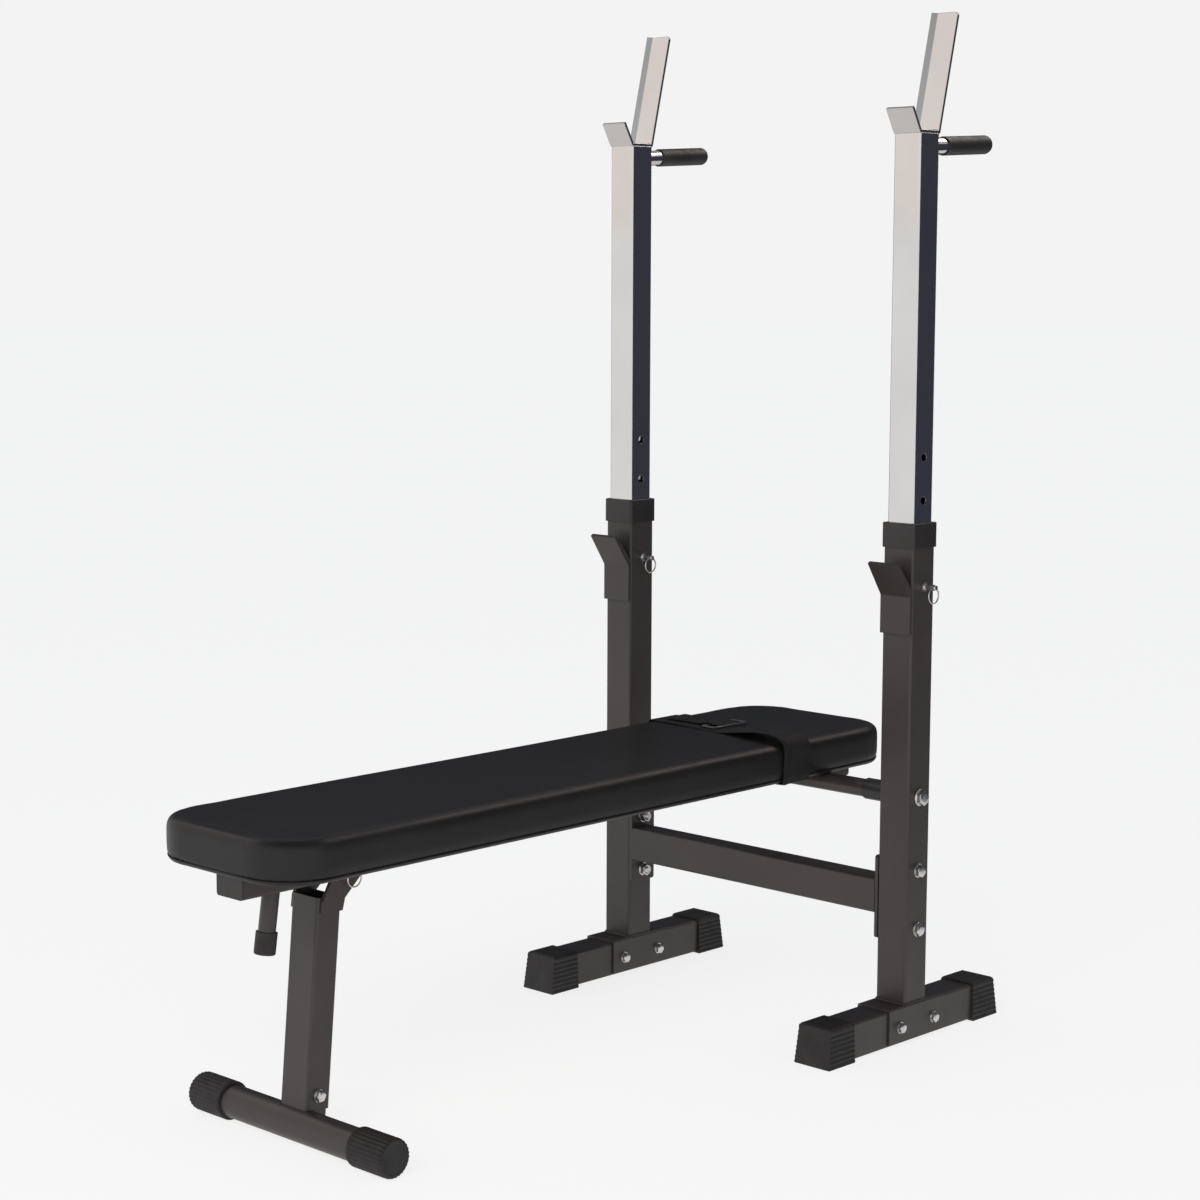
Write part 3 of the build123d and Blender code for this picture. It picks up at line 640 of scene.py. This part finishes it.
# ---- fasteners -----------------------------------------------------------------------------------
def bolt_set(name_bolt, name_nut, body, places, across, diameter, washer, height):
    """Bolts along X with their nuts, each set replacing its CAD node.

    places holds (face under the head, face under the nut, y, z), and height is the nuts'."""
    heads, nuts = Soup(), Soup()
    random.seed(name_bolt)
    shank, bore = diameter / 2 - 0.02, diameter / 2 + 0.03
    face, rim = 0.4, across * 0.46          # the round bearing face under a head
    head_height = diameter * 0.62 - face
    for head, nut, y, z in places:
        out = 1 if head > nut else -1
        seat, back = head + out * washer, nut - out * washer
        turned(heads, (seat, y, z), out, [(-face, rim), (0.3, across * 0.47), (0.5, rim)])
        hexagon(heads, (seat + out * face, y, z), out, across, head_height, turn=random.uniform(0, 1))
        turned(heads, (seat, y, z), -out, [(0.0, shank), (abs(seat - back) + 1, shank)], 24)
        thread(heads, (back, y, z), -out, shank, height + 2)
        hexagon(nuts, (back, y, z), -out, across, height, bore=bore, turn=random.uniform(0, 1))
    bolts = heads.piece(name_bolt + "_detailed", ZINC, body, "zinc")
    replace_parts(bolts, name_bolt)
    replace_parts(nuts.piece(name_nut + "_detailed", ZINC, body, "zinc"), name_nut)


def make_fasteners():
    outer, inner = POST_X + POST / 2, POST_X - POST / 2 - END_PLATE
    places = [(s * outer, s * inner, y, z) for s in (-1, 1) for y, z in BEAM_BOLTS]
    bolt_set("beam_bolts", "beam_nuts", "stand", places, 16, 10, 1.6, 8)
    places = [(s * POST_X + SADDLE_HALF, s * POST_X - SADDLE_HALF, y, z)
              for s in (-1, 1) for y, z in SADDLE_BOLTS]
    bolt_set("saddle_bolts", "saddle_nuts", "stand", places, 13, 8, 1.6, 6)
    places = [(EAR_FACE, -EAR_FACE, *LEG_HINGE)]
    bolt_set("leg_hinge_bolt", "leg_hinge_nut", "bench", places, 13, 8, 1.2, 6.5)
    places = [(LEG_HALF, -LEG_HALF, *LEG_BOLT)]
    bolt_set("leg_bolt", "leg_nut", "leg", places, 13, 8, 1.6, 6.5)
    pivots = Soup()
    for s in (-1, 1):
        edge = s * outer
        turned(pivots, (edge, *PIVOT), s, [(0, 11.6), (0.5, 12), (1.9, 12), (2.5, 11.2)])
        hexagon(pivots, (edge + s * 2.4, *PIVOT), s, 19, 7.4, turn=0.3 + s * 0.2, dome=0.2)
        turned(pivots, (s * 200, *PIVOT), s, [(0, 5.6), (0.8, 6), (86.5, 6)], 28)
    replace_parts(pivots.piece("pivot_bolts_detailed", ZINC, "stand", "zinc"), "pivot_bolts")


# ---- welds ---------------------------------------------------------------------------------------
def circle(radius):
    """Twenty offsets round a circle, for a weld round a tube's end."""
    angles = np.linspace(0, math.tau, 20, endpoint=False)
    return [(radius * math.cos(a), radius * math.sin(a)) for a in angles]


def make_welds():
    """Weld beads at the joints, gathered into one piece for each body."""
    stand = Soup()
    for s in (-1, 1):
        x, h = s * POST_X, POST / 2
        c = h - 2.5
        square = [(-h, -c), (-c, -h), (c, -h), (h, -c), (h, c), (c, h), (-c, h), (-h, c)]
        bead(stand, [(x + a, b, SADDLE_TOP + 0.3) for a, b in square], 2.0, closed=True)
        for side in (-1, 1):            # the J-hook's plate on the post: its two sides and its top
            edge = x + side * (h - 3.2)
            bead(stand, [(edge + side * 1.2, -h - 0.4, z) for z in (580, 602, 628)], 1.5)
        bead(stand, [(x + k, -h - 0.2, 637.2) for k in (-20, 0, 20)], 1.9)
    stand.piece("welds_stand", COAT, "stand", "black_frame", 60)
    for s, word in ((-1, "left"), (1, "right")):
        soup = Soup()
        x = s * POST_X
        rod = MAST_TOP - 16.5           # the handle rod's height; the other two seams are the bar rest's
        bead(soup, [(x + a, MAST / 2 + 0.2, rod + b) for a, b in circle(11.3)], 1.5, closed=True)
        bead(soup, [(x + k, 22.6, MAST_TOP + 0.2) for k in (-17, 0, 19)], 1.7)
        bead(soup, [(x + k, 18.4, MAST_TOP + 4.3) for k in (-9, 4, 20)], 1.3)
        soup.piece(f"welds_{word}_mast", CHROME, f"{word}_mast", "chrome", 60)
    bench = Soup()
    for y in (-620, -270):              # the two arms that carry the pad
        for s in (-1, 1):
            for edge in (-16, 16):
                bead(bench, [(s * k, y + edge, 357.6) for k in (26, 34, 44)], 1.4)
            bead(bench, [(s * 25.2, y + k, 357.2) for k in (-14, 0, 14)], 1.5)
    for s in (-1, 1):                   # the head bracket, and the pivot tube through the spine
        bead(bench, [(s * SPINE_HALF, 108.6, z) for z in (334, 345, 356)], 1.6)
        ring = [(s * (SPINE_HALF + 0.1), PIVOT[0] + a, PIVOT[1] + b) for a, b in circle(13.1)]
        bead(bench, ring, 1.4, closed=True)
    bead(bench, [(a, -919 + b, 326.2) for a, b in circle(11.4)], 1.4, closed=True)      # the stub handle
    bench.piece("welds_bench", COAT, "bench", "black_frame", 60)
    leg = Soup()
    for s in (-1, 1):
        bead(leg, [(s * 25.6, -862.5, 289.7), (s * 25.6, -832.5, 289.7)], 1.3)
    leg.piece("welds_leg", COAT, "leg", "black_frame", 60)


# ---- upholstery ----------------------------------------------------------------------------------
def plan(inset, corner_steps=14, short_steps=10, long_steps=30):
    """The pad's outline, counter-clockwise, a given distance inside its edge, in millimetres."""
    hx = PAD_HALF - inset
    y0, y1 = PAD_FRONT + inset, PAD_BACK - inset
    r = max(PAD_CORNER - inset, 4.0)
    corners = [(hx - r, y0 + r, -90), (hx - r, y1 - r, 0), (-hx + r, y1 - r, 90), (-hx + r, y0 + r, 180)]
    points = []
    for k, (cx, cy, start) in enumerate(corners):
        for i in range(corner_steps + 1):
            a = math.radians(start + 90 * i / corner_steps)
            points.append((cx + r * math.cos(a), cy + r * math.sin(a)))
        nx, ny, turn = corners[(k + 1) % 4]
        a = math.radians(turn)
        end_x, end_y = nx + r * math.cos(a), ny + r * math.sin(a)
        x, y = points[-1]
        steps = long_steps if k % 2 == 0 else short_steps
        points += [(x + (end_x - x) * i / steps, y + (end_y - y) * i / steps) for i in range(1, steps)]
    return points


def pad_blank(shrink):
    """The pad before it swells: a rounded slab a little smaller than the finished form."""
    low, top, r = PAD_LOW, PAD_TOP - shrink, PAD_EDGE - 3.5
    # Each ring's inset from the outline and its height: under the board, up the side and over the top.
    rings = [(60, low + 4), (25, low + 4), (17, low - 0.5), (6.5, low - 0.5), (3.6, low + 0.8)]
    rings += [(1.6, low + 3.5), (0.4, low + 7), (0, low + 12), (0, low + 20), (0, top - r - 4)]
    quarter = np.radians([0, 15, 30, 45, 60, 75, 90])
    rings += [(r - r * math.cos(a), top - r + r * math.sin(a)) for a in quarter]
    rings += [(24, top), (40, top + 0.1), (70, top + 0.3), (110, top + 0.4)]
    soup = Soup()
    soup.tube([[at(x, y, z) for x, y in plan(inset + shrink)] for inset, z in rings])
    return soup


def evaluated_copy(obj, name):
    """The object's mesh with its modifiers applied, as a new mesh."""
    graph = bpy.context.evaluated_depsgraph_get()
    mesh = bpy.data.meshes.new_from_object(obj.evaluated_get(graph))
    mesh.name = name
    return mesh


def vertex_rows(mesh, attribute="co"):
    """A three-number attribute of each vertex, as an array of rows."""
    values = np.zeros(len(mesh.vertices) * 3)
    mesh.vertices.foreach_get(attribute, values)
    return values.reshape(-1, 3)


def swap_mesh(obj, mesh):
    obj.modifiers.clear()
    obj.data = mesh


def even_out(mesh, values, rounds):
    """Averages a value per point with its neighbours', so that the swelling is smooth."""
    edges = np.zeros(len(mesh.edges) * 2, dtype=int)
    mesh.edges.foreach_get("vertices", edges)
    a, b = edges.reshape(-1, 2).T
    count = np.bincount(np.concatenate((a, b)), minlength=len(values))[:, None]
    for _ in range(rounds):
        total = np.zeros_like(values)
        np.add.at(total, a, values[b])
        np.add.at(total, b, values[a])
        values = 0.5 * values + 0.5 * total / np.maximum(count, 1)
    return values


def inflate(obj, pinned, cap, frames=20, rounds=16):
    """Cloth under pressure, of which only the smoothed outward swelling is kept, up to a cap in metres."""
    start = vertex_rows(obj.data)
    group = obj.vertex_groups.new(name="pin")
    group.add([int(i) for i in np.nonzero(pinned)[0]], 1.0, "REPLACE")
    cloth = obj.modifiers.new("Cloth", "CLOTH")
    cloth.settings.use_pressure = True
    cloth.settings.uniform_pressure_force = 4.0
    cloth.settings.vertex_group_mass = "pin"
    cloth.settings.effector_weights.gravity = 0.0
    cloth.settings.tension_stiffness = cloth.settings.compression_stiffness = 25.0
    cloth.settings.bending_stiffness = 2.0
    cloth.settings.quality = 5
    cloth.point_cache.frame_start, cloth.point_cache.frame_end = 1, frames
    scene = bpy.context.scene
    for number in range(1, frames + 1):
        scene.frame_set(number)
    mesh = evaluated_copy(obj, "swollen")
    moved = even_out(mesh, vertex_rows(mesh) - start, rounds)
    normals = vertex_rows(obj.data, "normal")
    outward = np.maximum(np.sum(moved * normals, axis=1, keepdims=True), 0.0)
    mesh.vertices.foreach_set("co", (start + normals * cap * np.tanh(outward / cap)).ravel())
    swap_mesh(obj, mesh)
    scene.frame_set(1)


def pad_details(mesh):
    """Gathers along the rounded corners' lower edge, and a flat underside inside the CAD cover's box."""
    co = vertex_rows(mesh)
    local = (co - np.array(ORIGIN)) / MM
    half, front, back = PAD_HALF - PAD_CORNER, PAD_FRONT + PAD_CORNER, PAD_BACK - PAD_CORNER
    reach, overlap, depth = 19, 6, 0.75     # the gathers' height, their run past a corner, their depth
    for way_x, way_y in ((1, -1), (-1, -1), (1, 1), (-1, 1)):
        dx, dy = local[:, 0] - way_x * half, local[:, 1] - (front if way_y < 0 else back)
        inside = (dx * way_x > -overlap) & (dy * way_y > -overlap)
        radius = np.hypot(dx, dy)
        angle = np.arctan2(dy, dx)
        fade = np.clip(1 - (local[:, 2] - PAD_LOW) / reach, 0, 1) ** 1.5
        fade = fade * np.clip((radius - 40) / 25, 0, 1)
        wave = np.sin(angle * 26 + 1.7 * np.sin(angle * 5)) * 0.5 + 0.3 * np.sin(angle * 43)
        push = depth * fade * wave * inside
        co[:, 0] += push * dx / np.maximum(radius, 1) * MM
        co[:, 1] += push * dy / np.maximum(radius, 1) * MM
    co[:, 2] = np.maximum(co[:, 2], PAD_LOW * MM - 0.0006)
    low, high = (np.array(c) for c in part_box("pad_cover"))
    spare = np.array([0.0015, 0.0015, 0.0025])
    co = np.minimum(np.maximum(co, low - spare), high + spare)
    mesh.vertices.foreach_set("co", co.ravel())
    mesh.update()


def make_pad():
    """The padded seat: a blank remeshed evenly, swollen under pressure and gathered at its corners."""
    shrink, voxel, swelling, pinned_height = 1.0, 0.0055, 0.0011, PAD_LOW + 4
    pad = pad_blank(shrink).piece("pad_upholstery", VINYL, "bench", "pad_cover", 180)
    remesh = pad.modifiers.new("Remesh", "REMESH")
    remesh.mode = "VOXEL"
    remesh.voxel_size = voxel
    swap_mesh(pad, evaluated_copy(pad, "remeshed"))
    smooth = pad.modifiers.new("Smooth", "SMOOTH")
    smooth.factor, smooth.iterations = 0.5, 3
    swap_mesh(pad, evaluated_copy(pad, "smoothed"))
    inflate(pad, vertex_rows(pad.data)[:, 2] < pinned_height * MM, swelling)
    divide = pad.modifiers.new("Subdivision", "SUBSURF")
    divide.levels = divide.render_levels = 1
    swap_mesh(pad, evaluated_copy(pad, "pad_upholstery"))
    pad_details(pad.data)
    pad.data.materials.clear()
    pad.data.materials.append(VINYL)
    pad.data.shade_smooth()
    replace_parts(pad, "pad_cover", "pad_foam")


def hem_line(inset):
    """The pad's outline in steps fine enough for the hem's pleats."""
    return plan(inset, 40, 24, 110)


def make_hem():
    """The vinyl folded under the board, pleated round the corners and cut a little unevenly."""
    soup = Soup()
    # Inset from the pad's outline, and height above its underside.
    profile = [(2.4, 4.2), (3.2, 2.1), (4.3, 0.6), (5.5, -0.5), (7.4, -1.0), (10, -1.2), (14, -1.2),
               (20, -1.1), (24, -0.9), (25.5, -0.1)]
    rows = []
    for inset, rise in profile:
        row = []
        for i, (x, y) in enumerate(hem_line(inset)):
            near_end = 1.0 if (y < PAD_FRONT + 80 or y > PAD_BACK - 80) else 0.0
            corner = min(1.0, max(0.0, (abs(x) - 50) / 20)) * near_end
            pleat = max(0.0, math.sin(i * 1.25) * corner * min(1.0, inset / 12))
            stray = abs(noise.noise(Vector((x * 0.03, y * 0.03, inset * 0.02)))) * (inset > 3)
            row.append(at(x, y, PAD_LOW + rise - 0.45 * pleat - 0.15 * stray))
        rows.append(row)
    for i in range(len(rows[0])):
        wobble = 1.3 * noise.noise(Vector((i * 0.11, 3.0, 0)))
        towards = (rows[-1][i] - rows[-2][i]).normalized() * wobble * MM
        rows[-1][i] = rows[-1][i] + Vector((towards.x, towards.y, 0))
    soup.grid(rows)
    hem = soup.piece("pad_hem", VINYL, "bench", "pad_cover", 50)
    thick = hem.modifiers.new("Solidify", "SOLIDIFY")
    thick.thickness, thick.offset = 0.0006, 1.0
    swap_mesh(hem, evaluated_copy(hem, "pad_hem"))


def make_staples():
    """Wire staples through the hem, about every 31 mm and a little crooked."""
    inset, half, z, leg = 17.0, 5, PAD_LOW - 1.75, 0.9
    soup = Soup()
    line = hem_line(inset)
    lengths = [0.0]
    for a, b in zip(line, line[1:]):
        lengths.append(lengths[-1] + math.dist(a, b))
    random.seed(7)
    target = 0.0
    for i in range(1, len(line) - 1):
        if lengths[i] < target:
            continue
        target = lengths[i] + random.uniform(27, 35)
        (x0, y0), (x, y), (x1, y1) = line[i - 1:i + 2]
        a = math.atan2(y1 - y0, x1 - x0) + random.uniform(-0.25, 0.25)
        dx, dy = half * math.cos(a), half * math.sin(a)
        bent = [(x + k * dx, y + k * dy, z + up) for k, up in ((-1, leg), (-0.94, 0), (0.94, 0), (1, leg))]
        wire(soup, bent, 0.42, 8)
    soup.piece("hem_staples", ZINC, "bench", "zinc", 50)


# ---- foot caps -----------------------------------------------------------------------------------
def make_foot_caps():
    """Rubber caps with deep lengthwise scallops and a plain dished end, over the foot tube's ends."""
    low, high = ((c - ORIGIN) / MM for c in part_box("foot_caps"))
    y, z = (low.y + high.y) / 2, (low.z + high.z) / 2
    length, ribs, steps = 62.0, 28, 8
    # Distance from the cap's inner end, outside radius, and depth of the scallops.
    profile = [(6, 21.05, 0), (0, 21.05, 0), (0, 24.0, 0), (0.5, 24.7, 0), (1.5, 25, 0), (5, 25, 0),
               (6.5, 25, 0.5), (9, 25, 0.9), (30, 25, 1.0), (50, 25, 1.15), (56, 25, 1.5), (59, 24.8, 1.4),
               (60.8, 24.0, 0.9), (61.7, 22.8, 0.3), (62, 21.4, 0), (62, 19.6, 0), (61.5, 19.0, 0),
               (61.4, 18.4, 0), (61.4, 4, 0)]
    soup = Soup()
    for s in (-1, 1):
        inner = (s * (high.x - length), y, z)
        soup.tube([[around(inner, s, along, radius - depth * (0.5 + 0.5 * math.cos(ribs * a)) ** 1.6, a)
                    for a in turns(ribs * steps)] for along, radius, depth in profile])
    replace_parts(soup.piece("foot_caps_ribbed", RUBBER, "leg", "rubber", 50), "foot_caps")


# ---- strap ---------------------------------------------------------------------------------------
def smooth_path(points, step):
    """Points at an even step along a Catmull-Rom curve through (x, z) pairs."""
    dense = []
    for i in range(len(points) - 1):
        p0, p1 = points[max(i - 1, 0)], points[i]
        p2, p3 = points[i + 1], points[min(i + 2, len(points) - 1)]
        for t in (k / 12 for k in range(12)):
            dense.append(tuple(0.5 * (2 * b + (c - a) * t + (2 * a - 5 * b + 4 * c - d) * t * t
                                      + (3 * b - a - 3 * c + d) * t ** 3)
                               for a, b, c, d in zip(p0, p1, p2, p3)))
    dense.append(points[-1])
    out, left = [dense[0]], step
    for a, b in zip(dense, dense[1:]):
        span = math.dist(a, b)
        while span >= left:
            t = left / span
            a = (a[0] + (b[0] - a[0]) * t, a[1] + (b[1] - a[1]) * t)
            out.append(a)
            span -= left
            left = step
        left -= span
    out.append(dense[-1])
    return out


def ribbon(name, path, half, place, thickness, shape=None):
    """Flat webbing along an (x, z) path, half its width each side of it.

    place(x, v, z) gives a point v millimetres across, and shape(x, z, v) how far it lifts along the
    path's normal, with v from -1 to 1."""
    across = [k / 12 for k in range(-12, 13)]
    rows, weave = [], []
    run = 0.0
    for i, (x, z) in enumerate(path):
        a, b = path[max(i - 1, 0)], path[min(i + 1, len(path) - 1)]
        length = math.dist(a, b) or 1.0
        nx, nz = -(b[1] - a[1]) / length, (b[0] - a[0]) / length
        if i:
            run += math.dist(path[i - 1], (x, z))
        loop = []
        for side in (1, -1):
            for v in across[::side]:
                lift = shape(x, z, v) if shape else 0.0
                selvedge = 1.0 if abs(v) < 0.99 else 0.25
                offset = lift + side * thickness / 2 * selvedge + thickness / 2
                loop.append(at(*place(x + nx * offset, v * half, z + nz * offset)))
                weave.append((run * MM, v * half * MM, 0.0))
        rows.append(loop)
    soup = Soup()
    soup.tube(rows)
    obj = soup.piece(name, WEBBING, "bench", "webbing", 60)
    attribute = obj.data.attributes.new("weave", "FLOAT_VECTOR", "POINT")
    attribute.data.foreach_set("vector", np.array(weave, np.float32).ravel())
    return obj


def askew(x, v, y, skew, about=0.0):
    """A point of webbing that crosses the pad at y, turned by a small angle."""
    c, s = math.cos(skew), math.sin(skew)
    return x * c - v * s, y + (x - about) * s + v * c


def on_strap(x, v, z):
    return *askew(x, v, STRAP_Y, STRAP_SKEW), z


def on_tail(x, v, z):
    return *askew(x, v, TAIL_Y, TAIL_SKEW, TAIL_MIDDLE), z


def strap_shape(x, z, v):
    """How the webbing stands off its path: a curled front edge and slack waves on top."""
    lift = 0.0
    on_top = max(0.0, min(1.0, (z - 405) / 8))
    if x > 0:                           # slack beside the buckle
        slack = math.exp(-((x - 78) / 42) ** 2) * on_top
        lift += slack * (0.4 + 2.2 * max(0.0, -v) ** 1.4 + 0.5 * max(0.0, v) ** 2)
    far = math.exp(-((x + 122) / 12) ** 2) * on_top
    lift += far * 1.5 * (0.6 + 0.4 * v)
    lift += on_top * 0.5 * (1 + math.sin(x * 0.055 + v * 0.8)) * 0.6
    if x > 130:                         # the rolled front edge down the pad's side
        lift += 0.9 * math.exp(-((v + 0.74) / 0.13) ** 2) - 0.9 * max(0.0, -v - 0.86) / 0.14
    return max(lift, -0.2)


def make_strap():
    """The strap round the pad from one side of the spine to the other, slack right of the buckle."""
    low, top = PAD_LOW - 2.7, PAD_TOP + 0.3
    side_x = PAD_HALF + 2.7
    path = [(-28.5, low), (-80, low), (-side_x + 7, low), (-side_x, low + 6), (-side_x, 385)]
    for a in (math.radians(angle) for angle in (180, 150, 120, 90)):
        path.append((-side_x + PAD_EDGE + PAD_EDGE * math.cos(a), top - PAD_EDGE + PAD_EDGE * math.sin(a)))
    path += [(-70, top), (-20, top), (15, 414.3), (45, 417), (78, 421), (104, 423.6), (122, 423.0),
             (134, 418.5), (140, 410), (140.6, 398), (139, 380), (side_x, low + 6), (side_x - 7, low),
             (80, low), (28.5, low)]
    strap = ribbon("strap_webbing", smooth_path(path, 1.6), STRAP_HALF, on_strap, STRAP_THICK, strap_shape)
    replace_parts(strap, "strap")


def make_tail():
    """The strap's doubled end behind the buckle, with its two rows of stitches."""
    path = [(-112, 418.1), (-98, 417.9), (-75, 417.3), (-52, 417.6), (-43, 419.1), (-36, 420.6),
            (-30, 420.3), (-22, 418.6), (-10, 418.3)]
    ribbon("strap_tail", smooth_path(path, 1.6), TAIL_HALF, on_tail, TAIL_THICK)
    soup = Soup()
    z, pitch = 419.5, 2.6
    for v in (-17.0, 17.0):
        for x in (-106 + k * pitch for k in range(14)):
            stitch = [on_tail(x + along, v, z + up)
                      for along, up in ((0, -0.25), (0.9, 0.12), (1.8, -0.25))]
            wire(soup, stitch, 0.28, 6)
    soup.piece("strap_stitches", WEBBING, "bench", "webbing", 60)


def make_buckle():
    """Flat moulded loop that the strap's end passes through."""
    low, high = ((c - ORIGIN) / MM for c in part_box("strap_buckle"))
    half, rise, r = 2.0, 1.5, 3.0           # the bar's half width and half height, and the loop's corners
    x0, x1, y0, y1 = low.x + half, high.x - half, low.y + half, high.y - half
    z = (low.z + high.z) / 2 + 0.3
    path = []
    corners = ((x1 - r, y0 + r, -90), (x1 - r, y1 - r, 0), (x0 + r, y1 - r, 90), (x0 + r, y0 + r, 180))
    for cx, cy, start in corners:
        for i in range(7):
            a = math.radians(start + 15 * i)
            path.append((cx + r * math.cos(a), cy + r * math.sin(a)))
    section = []
    for a in turns(20):
        c, s = math.cos(a), math.sin(a)
        section.append((half * math.copysign(abs(c) ** 0.55, c), rise * math.copysign(abs(s) ** 0.55, s)))
    rows = []
    for i, (x, y) in enumerate(path):
        (ax, ay), (bx, by) = path[i - 1], path[(i + 1) % len(path)]
        length = math.dist((ax, ay), (bx, by))
        nx, ny = (by - ay) / length, -(bx - ax) / length
        rows.append([at(x + nx * u, y + ny * u, z + w) for u, w in section])
    soup = Soup()
    soup.tube(rows, closed=True)
    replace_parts(soup.piece("buckle_loop", BUCKLE, "bench", "buckle", 40), "strap_buckle")


make_camera()
make_stage()
dress_cad_nodes()
make_fasteners()
make_welds()
make_pad()
make_hem()
make_staples()
make_strap()
make_tail()
make_buckle()
make_foot_caps()
